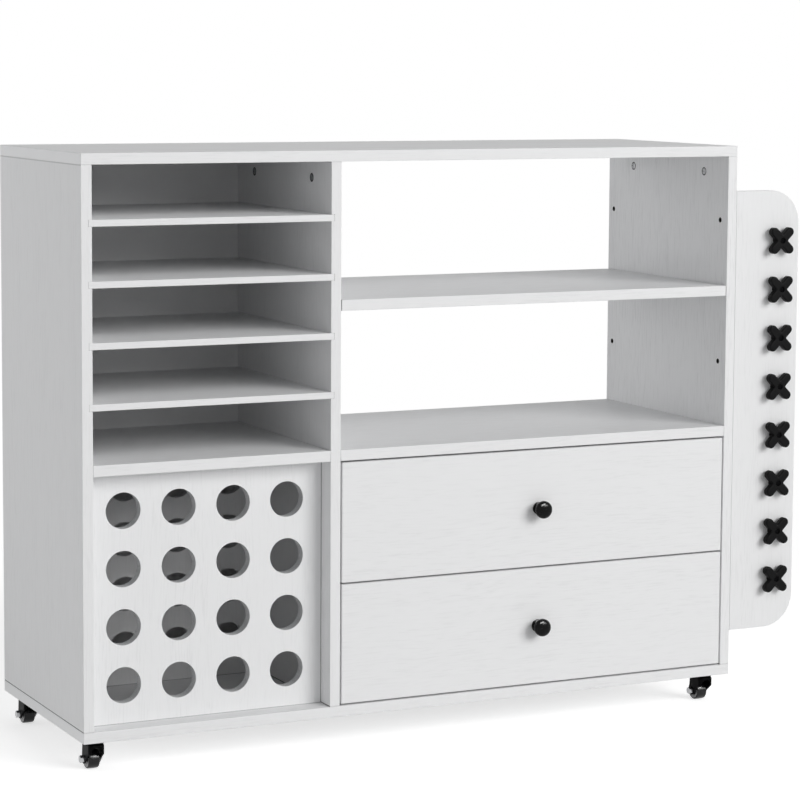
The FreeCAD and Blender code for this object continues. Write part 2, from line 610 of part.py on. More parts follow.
# Drawers
def knob(x, z):
    """A round knob: a collar on the front, a neck, and a flattened ball."""
    head_back = KNOB_PROJECTION - KNOB_HEAD_LENGTH
    head_mid = KNOB_PROJECTION - KNOB_HEAD_LENGTH / 2
    rise = KNOB_HEAD_LENGTH / 2
    side_x = KNOB_HEAD / 2 - KNOB_SIDE_RADIUS
    drop = rise - KNOB_SIDE_RADIUS
    crown = (side_x ** 2 + drop ** 2) / (2 * drop) + KNOB_SIDE_RADIUS
    lean = math.asin(side_x / (crown - KNOB_SIDE_RADIUS))
    crown_mid = KNOB_PROJECTION - crown
    high = V(crown * math.sin(lean), 0, crown_mid + crown * math.cos(lean))
    low = V(high.x, 0, 2 * head_mid - high.z)
    rim = V(KNOB_HEAD / 2, 0, head_mid)
    half_way = V(crown * math.sin(lean / 2), 0, crown_mid + crown * math.cos(lean / 2))
    tip = V(0, 0, KNOB_PROJECTION)
    collar = KNOB_COLLAR / 2
    neck = KNOB_NECK / 2
    edges = [
        Part.LineSegment(V(0, 0, 0), V(collar, 0, 0)),
        Part.LineSegment(V(collar, 0, 0), V(collar, 0, KNOB_COLLAR_LENGTH * 0.6)),
        Part.LineSegment(V(collar, 0, KNOB_COLLAR_LENGTH * 0.6), V(neck, 0, KNOB_COLLAR_LENGTH)),
        Part.LineSegment(V(neck, 0, KNOB_COLLAR_LENGTH), V(neck, 0, head_back)),
        Part.LineSegment(V(neck, 0, head_back), low),
        Part.Arc(low, rim, high),
        Part.Arc(high, half_way, tip),
        Part.LineSegment(tip, V(0, 0, 0))]
    face = Part.Face(Part.Wire([edge.toShape() for edge in edges]))
    body = face.revolve(V(0, 0, 0), UP, 360)
    bore = rod(KNOB_SCREW / 2, V(0, 0, -1), UP, KNOB_SCREW_IN_KNOB + 1)
    body = body.cut(bore)
    body.Placement = FreeCAD.Placement(V(x, 0, z), FreeCAD.Rotation(UP, V(0, -1, 0)))
    return body


front_x = (DIVIDER_RIGHT_X + FRONT_GAP, RIGHT_FACE_X - FRONT_GAP)
box_x = (DIVIDER_RIGHT_X + RAIL_SPACE, RIGHT_FACE_X - RAIL_SPACE)
knob_x = (front_x[0] + front_x[1]) / 2
drawer_half_rail = half_rail - RAIL_SHEET - RAIL_RUNNING_GAP
for i, level in enumerate(("lower", "upper")[:DRAWER_COUNT]):
    name = "drawer_" + level + "_"
    low = box_z(i)
    high = low + DRAWER_BOX_HEIGHT
    knob_z = front_z(i) + FRONT_HEIGHT / 2
    tray_z = low + DRAWER_BOTTOM_INSET
    tray = (box_x[0] + DRAWER_WALL - GROOVE_DEPTH, box_x[1] - DRAWER_WALL + GROOVE_DEPTH,
            BOARD - GROOVE_DEPTH, DRAWER_BACK_Y - DRAWER_WALL + GROOVE_DEPTH)
    c = GROOVE_CLEARANCE
    tray_top_z = tray_z + DRAWER_BOTTOM
    tray_groove = block(tray[0] - c, tray[1] + c, tray[2] - c, tray[3] + c, tray_z, tray_top_z + c)
    rail_faces = ((box_x[0], -1), (box_x[1], 1))
    rail_screws = [(V(face_x + side * RAIL_SHEET, y, rail_z(i)), V(-side, 0, 0))
                   for face_x, side in rail_faces for y in rail_screw_y()]
    side_holes = [screw_hole(seat, way) for seat, way in rail_screws]
    knob_hole = rod(KNOB_SCREW / 2, V(knob_x, -1, knob_z), V(0, 1, 0), BOARD + 2)
    front = board(*front_x, 0, BOARD, front_z(i), front_z(i) + FRONT_HEIGHT)
    keep(name + "front", cut(front, [tray_groove, knob_hole]))
    inside_x = (box_x[0] + DRAWER_WALL, box_x[1] - DRAWER_WALL)
    for side_name, x0, x1 in (("side_left", box_x[0], inside_x[0]), ("side_right", inside_x[1], box_x[1])):
        wall = block(x0, x1, BOARD, DRAWER_BACK_Y, low, high)
        keep(name + side_name, cut(wall, [tray_groove] + side_holes))
    back = block(*inside_x, DRAWER_BACK_Y - DRAWER_WALL, DRAWER_BACK_Y, low, high)
    keep(name + "back", cut(back, [tray_groove]))
    keep(name + "bottom", block(*tray, tray_z, tray_top_z))
    keep(name + "knob", knob(knob_x, knob_z))
    keep(name + "knob_screw", pan_screw(KNOB_SCREW, BOARD + KNOB_SCREW_IN_KNOB - KNOB_SCREW_END_GAP,
                                        KNOB_SCREW_HEAD, KNOB_SCREW_HEAD_LENGTH,
                                        V(knob_x, BOARD, knob_z), V(0, -1, 0)))
    keep(name + "rails", *[channel(face_x, side, RAIL_DRAWER_FLANGE, drawer_half_rail, rail_z(i),
                                   drawer_stop_y) for face_x, side in rail_faces])
    keep(name + "rail_screws", *[wood_screw(seat, way) for seat, way in rail_screws])


# Peg panel with its pegs
def peg_z(index):
    """Middle of a peg, with the row of pegs centred on the panel."""
    return WING_MID_Z + (index - (PEG_COUNT - 1) / 2) * PEG_PITCH


def rounded_bar(angle):
    """One bar of the cross, with round ends, lying flat and turned by an angle."""
    half = (PEG_SPAN - PEG_ARM) / math.sqrt(2)
    r = PEG_ARM / 2
    outline = Part.Wire([
        Part.LineSegment(V(-half, -r, 0), V(half, -r, 0)).toShape(),
        Part.Arc(V(half, -r, 0), V(half + r, 0, 0), V(half, r, 0)).toShape(),
        Part.LineSegment(V(half, r, 0), V(-half, r, 0)).toShape(),
        Part.Arc(V(-half, r, 0), V(-half - r, 0, 0), V(-half, -r, 0)).toShape()])
    bar = Part.Face(outline).extrude(V(0, 0, PEG_THICKNESS))
    bar.rotate(V(0, 0, 0), UP, angle)
    return bar


def cross_peg():
    """A cross-shaped peg on a short round boss, lying with its back at Z = 0."""
    cross = rounded_bar(45).fuse(rounded_bar(-45)).removeSplitter()
    ends = [edge for edge in cross.Edges if abs(edge.CenterOfMass.z - PEG_THICKNESS) < TINY]
    cross = cross.makeFillet(PEG_EDGE_ROUND, ends)
    cross.translate(V(0, 0, PEG_STANDOFF))
    boss = rod(PEG_BOSS / 2, V(0, 0, 0), UP, PEG_STANDOFF + PEG_THICKNESS / 2)
    total = PEG_STANDOFF + PEG_THICKNESS
    seat = V(0, 0, total - PEG_SCREW_SINK)
    bore = rod(PEG_SCREW / 2 + PEG_HOLE_CLEARANCE, V(0, 0, -1), UP, total + 2)
    sink = rod(PEG_SCREW_HEAD / 2 + PEG_HOLE_CLEARANCE, seat, UP, PEG_SCREW_SINK + 1)
    return cut(cross.fuse(boss).removeSplitter(), [bore, sink])


peg_x = WING_RIGHT_X - PEG_FROM_OUTER_EDGE
peg_pattern = cross_peg()
peg_turn = FreeCAD.Rotation(UP, V(0, -1, 0))
peg_screw_seat = PEG_STANDOFF + PEG_THICKNESS - PEG_SCREW_SINK
peg_screw_length = peg_screw_seat + PEG_SCREW_IN_PANEL
pegs = []
peg_screws = []
peg_holes = []
for i in range(PEG_COUNT):
    peg = peg_pattern.copy()
    peg.Placement = FreeCAD.Placement(V(peg_x, 0, peg_z(i)), peg_turn)
    pegs.append(peg)
    seat = V(peg_x, -peg_screw_seat, peg_z(i))
    peg_screws.append(pan_screw(PEG_SCREW, peg_screw_length, PEG_SCREW_HEAD, PEG_SCREW_HEAD_LENGTH,
                                seat, V(0, 1, 0)))
    peg_holes.append(rod(PEG_SCREW / 2, V(peg_x, -1, peg_z(i)), V(0, 1, 0), PEG_SCREW_IN_PANEL + 1))

wing_low = WING_MID_Z - WING_HEIGHT / 2
wing_plain = block(WING_X, WING_RIGHT_X, 0, WING_BOARD, wing_low, wing_low + WING_HEIGHT)
wing_corners = [edge for edge in wing_plain.Edges
                if abs(edge.CenterOfMass.y - WING_BOARD / 2) < TINY and edge.CenterOfMass.x > WING_X + 1]
wing = wing_plain.makeFillet(WING_CORNER, wing_corners)
wing = wing.makeFillet(EDGE_ROUND, [edge for edge in wing.Edges
                                    if abs(edge.CenterOfMass.y - WING_BOARD / 2) > WING_BOARD / 2 - TINY])
wing_screw_holes = [screw_hole(seat, way) for seat, way in wing_hinge_screws]
keep("wing_panel", cut(wing, peg_holes + wing_screw_holes))
keep("wing_pegs", *pegs)
keep("peg_screws", *peg_screws)


# Hinges between the cabinet and the peg panel
def knuckle_span(index, number):
    """Bottom and top of one knuckle, with the running gap taken from the inner ends."""
    pitch = HINGE_LENGTH / HINGE_KNUCKLES
    low_gap = HINGE_KNUCKLE_GAP / 2 if number > 0 else 0
    high_gap = HINGE_KNUCKLE_GAP / 2 if number < HINGE_KNUCKLES - 1 else 0
    low = hinge_z(index) + number * pitch
    return low + low_gap, low + pitch - high_gap


def hinge_leaf(index, own, on_cabinet):
    """A leaf with its own knuckles. The leaf on the cabinet lies on its side, the other on the panel."""
    radius = HINGE_KNUCKLE / 2
    reach = HINGE_LEAF_WIDTH
    low_z = hinge_z(index)
    if on_cabinet:
        plate = Part.makeBox(HINGE_LEAF, reach, HINGE_LENGTH, V(CABINET_WIDTH, HINGE_AXIS_Y, low_z))
        screws = fixed_hinge_screws
    else:
        plate = Part.makeBox(reach, HINGE_LEAF, HINGE_LENGTH, V(HINGE_AXIS_X, WING_BOARD, low_z))
        screws = wing_hinge_screws
    rolls = []
    gaps = []
    for number in range(HINGE_KNUCKLES):
        low, high = knuckle_span(index, number)
        if number in own:
            rolls.append(rod(radius, V(HINGE_AXIS_X, HINGE_AXIS_Y, low), UP, high - low))
        else:
            room = radius + HINGE_OFFSET
            gaps.append(rod(room, V(HINGE_AXIS_X, HINGE_AXIS_Y, low - HINGE_KNUCKLE_GAP), UP,
                            high - low + 2 * HINGE_KNUCKLE_GAP))
    holes = [clear_hole(seat, way, 2 * HINGE_LEAF) for seat, way in screws]
    return cut(plate, gaps).fuse(rolls).removeSplitter().cut(Part.makeCompound(holes))


outer_knuckles = [n for n in range(HINGE_KNUCKLES) if n % 2 == 0]
inner_knuckles = [n for n in range(HINGE_KNUCKLES) if n % 2 == 1]
fixed_leaves = []
wing_leaves = []
for i in range(HINGE_COUNT):
    foot = V(HINGE_AXIS_X, HINGE_AXIS_Y, hinge_z(i))
    pin = rod(HINGE_PIN / 2, foot, UP, HINGE_LENGTH)
    bore = rod(HINGE_PIN / 2 + HINGE_BORE_CLEARANCE, foot, UP, HINGE_LENGTH)
    fixed_leaves.append(hinge_leaf(i, outer_knuckles, True).fuse(pin).removeSplitter())
    wing_leaves.append(hinge_leaf(i, inner_knuckles, False).cut(bore))
keep("hinge_leaves_cabinet", *fixed_leaves)
keep("hinge_leaves_wing", *wing_leaves)
keep("hinge_screws_wing", *[wood_screw(seat, way) for seat, way in wing_hinge_screws])


# Casters
def caster_plate(x, y):
    """Plate, upper race and riveted kingpin, which hang under the bottom board."""
    half = CASTER_PLATE / 2
    top_z = FLOOR_BOARD_Z
    plate = block(x - half, x + half, y - half, y + half, top_z - CASTER_PLATE_THICKNESS, top_z)
    plate = plate.makeFillet(CASTER_PLATE_CORNER, [edge for edge in plate.Edges
                                                   if edge.Length < CASTER_PLATE_THICKNESS + TINY])
    race_z = top_z - CASTER_PLATE_THICKNESS - CASTER_RACE_HEIGHT
    race = Part.makeCone(CASTER_RACE / 2 - CASTER_RACE_HEIGHT / 2, CASTER_RACE / 2, CASTER_RACE_HEIGHT,
                         V(x, y, race_z), UP)
    pin_end = race_z - 2 * CASTER_RACE_GAP - FORK_SHEET - CASTER_RACE_HEIGHT
    pin = rod(KINGPIN / 2, V(x, y, pin_end), UP, race_z - pin_end)
    head = rod(KINGPIN_HEAD / 2, V(x, y, pin_end - KINGPIN_HEAD_HEIGHT), UP, KINGPIN_HEAD_HEIGHT)
    holes = [clear_hole(seat, way, 2 * CASTER_PLATE_THICKNESS) for seat, way in caster_screws]
    return cut(plate.fuse([race, pin, head]).removeSplitter(), holes)


def caster_fork(x, y):
    """A pressed fork: a round lower race, a front wall with an arch, and two cheeks that carry the axle."""
    race_top = FLOOR_BOARD_Z - CASTER_PLATE_THICKNESS - CASTER_RACE_HEIGHT - CASTER_RACE_GAP
    sheet_top = race_top - CASTER_RACE_HEIGHT
    half = FORK_WIDTH / 2
    front_y = y - FORK_LENGTH / 2
    back_y = y + FORK_LENGTH / 2
    axle_y = y + CASTER_TRAIL
    axle_z = WHEEL_DIAMETER / 2
    race = Part.makeCone(CASTER_RACE / 2, CASTER_RACE / 2 - CASTER_RACE_HEIGHT / 2, CASTER_RACE_HEIGHT,
                         V(x, y, sheet_top), UP)
    roof = block(x - half, x + half, front_y, back_y, sheet_top - FORK_SHEET, sheet_top)
    boss = FORK_BOSS / 2
    wall_end_z = sheet_top - FORK_FRONT_DROP
    wall = block(x - half, x + half, front_y, front_y + FORK_SHEET, wall_end_z, sheet_top)
    arch = rod(half - FORK_SHEET - FORK_ARCH_SHOULDER, V(x, front_y - 1, wall_end_z), V(0, 1, 0),
               FORK_SHEET + 2)
    outline = [(front_y, sheet_top), (back_y, sheet_top), (axle_y + boss, axle_z),
               (axle_y - boss, axle_z), (front_y, wall_end_z), (front_y, sheet_top)]
    cheek = Part.Face(Part.makePolygon([V(0, y_, z_) for y_, z_ in outline])).extrude(V(FORK_WIDTH, 0, 0))
    cheek = cheek.fuse(rod(boss, V(0, axle_y, axle_z), V(1, 0, 0), FORK_WIDTH)).removeSplitter()
    cheek.translate(V(x - half, 0, 0))
    inside = block(x - half + FORK_SHEET, x + half - FORK_SHEET, front_y - 1, back_y + CASTER_HEIGHT,
                   -1, sheet_top + 1)
    body = cheek.cut(inside).fuse([roof, wall.cut(arch)]).removeSplitter()
    front_corners = [edge for edge in body.Edges
                     if abs(edge.CenterOfMass.y - front_y) < TINY
                     and abs(abs(edge.CenterOfMass.x - x) - half) < TINY]
    body = body.makeFillet(FORK_EDGE_ROUND, front_corners).fuse(race).removeSplitter()
    axle_hole = rod(AXLE / 2, V(x - half - 1, axle_y, axle_z), V(1, 0, 0), FORK_WIDTH + 2)
    pin_hole = rod(KINGPIN / 2 + KINGPIN_CLEARANCE, V(x, y, sheet_top - FORK_SHEET - 1), UP,
                   CASTER_RACE_HEIGHT + FORK_SHEET + 2)
    return cut(body, [axle_hole, pin_hole])


def caster_wheel(x, y):
    """A solid wheel with a shallow ring in each face and a raised boss round the axle."""
    axle_y = y + CASTER_TRAIL
    axle_z = WHEEL_DIAMETER / 2
    start = V(x - WHEEL_WIDTH / 2, axle_y, axle_z)
    tread = rod(WHEEL_DIAMETER / 2, start, V(1, 0, 0), WHEEL_WIDTH)
    tread = tread.makeFillet(WHEEL_EDGE_ROUND, [edge for edge in tread.Edges if edge.Closed])
    rings = []
    for face_x in (start.x - 1, start.x + WHEEL_WIDTH - WHEEL_HUB_RECESS):
        outer = rod(WHEEL_HUB / 2, V(face_x, axle_y, axle_z), V(1, 0, 0), WHEEL_HUB_RECESS + 1)
        inner = rod(WHEEL_BOSS / 2, V(face_x, axle_y, axle_z), V(1, 0, 0), WHEEL_HUB_RECESS + 1)
        rings.append(outer.cut(inner))
    bore = rod(AXLE / 2 + AXLE_CLEARANCE, start - V(1, 0, 0), V(1, 0, 0), WHEEL_WIDTH + 2)
    return cut(tread, rings + [bore])


def caster_axle(x, y):
    """A hexagon-headed bolt through both cheeks, and its nut."""
    axle_y = y + CASTER_TRAIL
    axle_z = WHEEL_DIAMETER / 2
    half = FORK_WIDTH / 2
    left_end = V(x - half - AXLE_HEAD_LENGTH, axle_y, axle_z)
    head = hexagon(AXLE_HEAD_FLATS, left_end, V(1, 0, 0), AXLE_HEAD_LENGTH)
    shank = rod(AXLE / 2, V(x - half, axle_y, axle_z), V(1, 0, 0), FORK_WIDTH + AXLE_NUT_LENGTH)
    nut = hexagon(AXLE_NUT_FLATS, V(x + half, axle_y, axle_z), V(1, 0, 0), AXLE_NUT_LENGTH)
    nut = nut.cut(rod(AXLE / 2, V(x + half - 1, axle_y, axle_z), V(1, 0, 0), AXLE_NUT_LENGTH + 2))
    return [head.fuse(shank).removeSplitter(), nut]


keep("caster_plates", *[caster_plate(x, y) for name, x, y in casters])
for name, x, y in casters:
    keep("caster_" + name + "_fork", caster_fork(x, y))
    keep("caster_" + name + "_wheel", caster_wheel(x, y))
    keep("caster_" + name + "_axle", *caster_axle(x, y))

print("nodes", len(made))
print("origin in cabinet measures", [round(c, 2) for c in FOOTPRINT_MIDDLE])
print("rails overlap when open", round(RAIL_BACK_Y - RAIL_FRONT_Y - DRAWER_TRAVEL, 2))
print("bay", round(THIN_CLEAR, 2), "shelf underside", round(SHELF_UNDER_Z, 2), "front height", FRONT_HEIGHT)
print("hinge axis", round(HINGE_AXIS_X - FOOTPRINT_MIDDLE.x, 3), round(HINGE_AXIS_Y - FOOTPRINT_MIDDLE.y, 3))
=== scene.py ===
# %% [markdown]
# # A white craft cart on casters
# The cart is a cabinet of foil-covered boards: five low bays over a block of roll holes on the left,
# two open bays over two drawers on the right, and a narrow panel with cross-shaped pegs at the side.
# The boards, rails and screws come from the solid model and only need their finishes. The round and
# pressed pieces, which are the knobs, pegs, forks and wheels, are made here as smooth surfaces.

# %% Load the solid model
import math
import bmesh
import bpy
import numpy as np
from mathutils import Matrix, Vector


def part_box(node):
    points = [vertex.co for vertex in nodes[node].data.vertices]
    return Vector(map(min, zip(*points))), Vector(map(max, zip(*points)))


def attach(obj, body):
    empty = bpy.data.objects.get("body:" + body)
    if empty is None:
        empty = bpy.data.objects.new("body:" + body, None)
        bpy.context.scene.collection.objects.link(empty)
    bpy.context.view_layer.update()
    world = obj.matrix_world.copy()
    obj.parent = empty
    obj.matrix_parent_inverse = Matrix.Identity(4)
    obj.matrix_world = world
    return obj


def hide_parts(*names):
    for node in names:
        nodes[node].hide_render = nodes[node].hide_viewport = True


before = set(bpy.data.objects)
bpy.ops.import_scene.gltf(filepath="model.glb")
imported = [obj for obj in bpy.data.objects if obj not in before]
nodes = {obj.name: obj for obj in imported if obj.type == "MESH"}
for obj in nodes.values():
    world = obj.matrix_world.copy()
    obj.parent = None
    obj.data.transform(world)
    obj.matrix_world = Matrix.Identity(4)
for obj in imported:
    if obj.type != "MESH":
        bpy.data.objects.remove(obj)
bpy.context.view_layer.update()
MM = 0.001
print("pieces in the solid model:", len(nodes))

# %% [markdown]
# ## The camera
# A camera is a place, a direction and a focal length. The cart is seen from its left, a little from
# above, through a long lens, so its upright edges stay almost parallel. The camera could be aimed at
# a point, but then it couldn't lean. So its turn is built from three plain rotations: swing to the
# right, tip down, and a slight lean.

# %% Place the camera
SWING = math.radians(25.918)
TIP = math.radians(5.573)
LEAN = math.radians(0.340)
CAMERA_PLACE = (-1.7134, -3.4869, 0.9494)
LENS = 122.3
FRAME_SHIFT = -0.1
camera = bpy.data.objects.new("camera", bpy.data.cameras.new("camera"))
bpy.context.scene.collection.objects.link(camera)
camera.matrix_world = (Matrix.Translation(CAMERA_PLACE)
                       @ Matrix.Rotation(-SWING, 4, "Z")
                       @ Matrix.Rotation(math.pi / 2 - TIP, 4, "X")
                       @ Matrix.Rotation(LEAN, 4, "Z"))
camera.data.lens = LENS
camera.data.shift_y = FRAME_SHIFT
bpy.context.scene.camera = camera
bpy.context.scene.view_settings.view_transform = "Standard"
print("camera at", [round(c, 3) for c in camera.location])

# %% [markdown]
# ## Small helpers for node trees
# A finish is a tree of nodes: each node has inputs, which are plain values or links from other nodes,
# and outputs. These helpers add one node in one line, so that a tree reads like a sum.

# %% Node helpers
WHITE = (1.0, 1.0, 1.0, 1.0)


def shader_tree(name):
    """A new finish with an empty node tree."""
    finish = bpy.data.materials.new(name)
    finish.use_nodes = True
    finish.node_tree.nodes.clear()
    return finish, finish.node_tree


def add(tree, kind, inputs=None, **settings):
    """Adds one node. Inputs are numbers, colours, or outputs of other nodes, which get linked."""
    made = tree.nodes.new("ShaderNode" + kind)
    for name, value in settings.items():
        setattr(made, name, value)
    for name, value in (inputs or {}).items():
        if isinstance(value, bpy.types.NodeSocket):
            tree.links.new(value, made.inputs[name])
        else:
            made.inputs[name].default_value = value
    return made


def math_of(tree, operation, a, b=0.0):
    """One sum on two values."""
    return add(tree, "Math", {0: a, 1: b}, operation=operation).outputs[0]


def vector_of(tree, operation, a, b=(0.0, 0.0, 0.0)):
    """One sum on two vectors."""
    return add(tree, "VectorMath", {0: a, 1: b}, operation=operation).outputs[0]


def length_of(tree, vector):
    """The length of a vector."""
    return add(tree, "VectorMath", {0: vector}, operation="LENGTH").outputs["Value"]


def split(tree, vector):
    """The three parts of a vector, by their names X, Y and Z."""
    return add(tree, "SeparateXYZ", {"Vector": vector}).outputs


def spread(tree, value, low, high, to_low=0.0, to_high=1.0):
    """Maps a value from one range to another, held at its ends."""
    return add(tree, "MapRange", {"Value": value, "From Min": low, "From Max": high, "To Min": to_low,
                                  "To Max": to_high}).outputs["Result"]


def mixed(tree, share, first, second):
    """A mix of two colours."""
    return add(tree, "Mix", {0: share, 6: first, 7: second}, data_type="RGBA").outputs[2]


def tone(colour, share=1.0):
    """A colour times a share, with full opacity."""
    return (colour[0] * share, colour[1] * share, colour[2] * share, 1.0)


print("node helpers are ready")

# %% [markdown]
# ## Light
# White furniture needs soft light, or its faces all turn the same white. A dim, even sky fills the
# bays. One large lamp stands in front on the right, so the fronts are the brightest faces, and a
# weaker one behind on the left keeps that side grey and shines through the open back of the bays.
# The sky is white only to the camera and in reflections, which gives the plain white background
# without more light on the boards. Two more lamps are linked only to the shiny black pieces, so they
# add no light elsewhere: the one overhead draws the highlights on the knobs, and the low strip draws
# those on the wheels.

# %% Sky
SKY_LOW = 0.62
SKY_HIGH = 0.13
SKY_TINT = (0.99, 0.995, 1.0, 1.0)
world = bpy.data.worlds.new("soft_sky")
bpy.context.scene.world = world
world.use_nodes = True
tree = world.node_tree
tree.nodes.clear()
sky_up = split(tree, add(tree, "TexCoord").outputs["Generated"])["Z"]
dim_sky = add(tree, "Background", {"Color": SKY_TINT, "Strength": spread(tree, sky_up, 0.0, 1.0, SKY_LOW,
                                                                         SKY_HIGH)}).outputs[0]
white_sky = add(tree, "Background", {"Color": WHITE, "Strength": 1.0}).outputs[0]
ray = add(tree, "LightPath").outputs
seen = math_of(tree, "MAXIMUM", ray["Is Camera Ray"], ray["Is Glossy Ray"])
seen = math_of(tree, "MAXIMUM", seen, ray["Is Transmission Ray"])
both_skies = add(tree, "MixShader", {0: seen, 1: dim_sky, 2: white_sky}).outputs[0]
add(tree, "OutputWorld", {"Surface": both_skies})
print("sky strength", SKY_LOW, "to", SKY_HIGH)

# %% Lamps
AIM = Vector((-0.05, 0.0, 0.42))


def soft_lamp(name, place, width, height, power, tint=(1.0, 1.0, 1.0)):
    """A flat lamp of the given size at a place, facing the middle of the cart."""
    data = bpy.data.lights.new(name, "AREA")
    data.shape = "RECTANGLE"
    data.size = width
    data.size_y = height
    data.energy = power
    data.color = tint
    lamp = bpy.data.objects.new(name, data)
    bpy.context.scene.collection.objects.link(lamp)
    lamp.location = place
    lamp.rotation_euler = (AIM - Vector(place)).to_track_quat("-Z", "Y").to_euler()
    print(name, "power", power)
    return lamp


soft_lamp("front_lamp", (4.68, -8.28, 4.48), width=6.0, height=5.0, power=622.0, tint=(1.0, 0.997, 0.99))
soft_lamp("left_lamp", (-4.8, 2.3, 0.9), width=3.0, height=2.0, power=46.0)
top_lamp = soft_lamp("top_lamp", (0.3, -2.8, 3.3), width=3.0, height=1.7, power=760.0)
strip_lamp = soft_lamp("strip_lamp", (2.8, -5.2, 3.2), width=3.2, height=0.5, power=190.0)
shiny_pieces = bpy.data.collections.new("shiny_pieces")
for lamp in (top_lamp, strip_lamp):
    lamp.light_linking.receiver_collection = shiny_pieces
    lamp.visible_diffuse = False

# %% [markdown]
# ## The floor
# The floor has to be white and still hold a soft shadow under the cart. Its colour is a plain pale
# grey for the light, and to the camera it glows just enough to reach white where nothing shades it.
# Far from the cart the glow takes over, so the floor has no visible end.

# %% Floor
FLOOR_HALF = 30.0
FLOOR_GREY = (0.8, 0.8, 0.8, 1.0)
FLOOR_GLOW = 0.62
FLOOR_NEAR = 0.75
FLOOR_FAR = 1.5
floor_mesh = bpy.data.meshes.new("floor")
floor_mesh.from_pydata([(-FLOOR_HALF, -FLOOR_HALF, 0), (FLOOR_HALF, -FLOOR_HALF, 0),
                        (FLOOR_HALF, FLOOR_HALF, 0), (-FLOOR_HALF, FLOOR_HALF, 0)], [], [(0, 1, 2, 3)])
floor = bpy.data.objects.new("floor", floor_mesh)
bpy.context.scene.collection.objects.link(floor)
floor_finish, tree = shader_tree("pale_floor")
reach = length_of(tree, add(tree, "TexCoord").outputs["Object"])
far = add(tree, "MapRange", {"Value": reach, "From Min": FLOOR_NEAR, "From Max": FLOOR_FAR},
          interpolation_type="SMOOTHSTEP").outputs["Result"]
ray = add(tree, "LightPath").outputs
seen = math_of(tree, "MAXIMUM", ray["Is Camera Ray"], ray["Is Glossy Ray"])
plain = add(tree, "BsdfDiffuse", {"Color": FLOOR_GREY}).outputs[0]
glow = add(tree, "Emission", {"Color": WHITE, "Strength": FLOOR_GLOW}).outputs[0]
lit = add(tree, "AddShader", {0: plain, 1: glow}).outputs[0]
white = add(tree, "Emission", {"Color": WHITE, "Strength": 1.0}).outputs[0]
near_to_far = add(tree, "MixShader", {0: far, 1: lit, 2: white}).outputs[0]
shown = add(tree, "MixShader", {0: seen, 1: plain, 2: near_to_far}).outputs[0]
add(tree, "OutputMaterial", {"Surface": shown})
floor_mesh.materials.append(floor_finish)
print("floor", 2 * FLOOR_HALF, "m wide")

# %% [markdown]
# ## White foil with a wood grain
# The boards are chipboard in a white foil that is embossed like ash: faint short streaks that follow
# one direction, slightly darker pores, and broad soft bands. A noise pattern that is stretched a lot
# along one axis gives all three at different sizes. The pattern reads object coordinates, so every
# board shows its own part of the grain, at true scale.

# %% Grain
FOIL = (0.846, 0.849, 0.856)
DRIFT_CELLS = 7.0
DRIFT = 0.012
LINE_CELLS = (430.0, 26.0)
FINE_CELLS = (1500.0, 70.0)
BAND_CELLS = (34.0, 2.4)
STREAK_ROUGHNESS = 0.62
LINE_RANGE = (0.3, 0.6)
BAND_RANGE = (0.35, 0.65)
LINE_PALE = 0.012
BAND_PALE = 0.003
BAND_DARK = 0.009
PORE_RANGE = (0.55, 0.67)
PORES_IN_BANDS = (0.38, 0.6, 0.4, 1.0)
PORE_TONE = 0.9
PORE_SHARE = 0.42
LINE_RELIEF = 0.5
FINE_RELIEF = 0.3


def streaks(tree, place, cells, axis, detail):
    """Noise cells that are short across the grain and long along it, in cells per metre."""
    across, along = cells
    size = [across, across, across]
    size["XYZ".index(axis)] = along
    scaled = add(tree, "Mapping", {"Vector": place, "Scale": size}).outputs[0]
    return add(tree, "TexNoise", {"Vector": scaled, "Scale": 1.0, "Detail": detail,
                                  "Roughness": STREAK_ROUGHNESS}).outputs["Fac"]


def wood_grain(tree, place, axis, contrast):
    """The shade of the embossed foil, the height of its relief, and the streaks behind both.

    The bands mix a paler and a darker foil, the streaks lighten it, and pores darken it where both
    streaks and bands are strong. The relief is streaks and fine streaks, less the pores.
    """
    drift = add(tree, "TexNoise", {"Vector": place, "Scale": DRIFT_CELLS, "Detail": 1.0}).outputs["Color"]
    centred = vector_of(tree, "SUBTRACT", drift, (0.5, 0.5, 0.5))
    bent = vector_of(tree, "ADD", place, vector_of(tree, "MULTIPLY", centred, (DRIFT, DRIFT, DRIFT)))
    lines = streaks(tree, bent, LINE_CELLS, axis, 2.0)
    fine = streaks(tree, bent, FINE_CELLS, axis, 1.0)
    bands = streaks(tree, bent, BAND_CELLS, axis, 2.0)
    pores = math_of(tree, "MULTIPLY", spread(tree, lines, *PORE_RANGE),
                    spread(tree, bands, *PORES_IN_BANDS))
    base = mixed(tree, spread(tree, bands, *BAND_RANGE), tone(FOIL, 1.0 + BAND_PALE * contrast),
                 tone(FOIL, 1.0 - BAND_DARK * contrast))
    grained = mixed(tree, spread(tree, lines, *LINE_RANGE), tone(FOIL, 1.0 + LINE_PALE * contrast), base)
    shade = mixed(tree, math_of(tree, "MULTIPLY", pores, PORE_SHARE * contrast), grained,
                  tone(FOIL, PORE_TONE))
    raised = math_of(tree, "ADD", math_of(tree, "MULTIPLY", lines, LINE_RELIEF),
                     math_of(tree, "MULTIPLY", fine, FINE_RELIEF))
    return shade, math_of(tree, "SUBTRACT", raised, pores), lines


print("foil colour", FOIL)
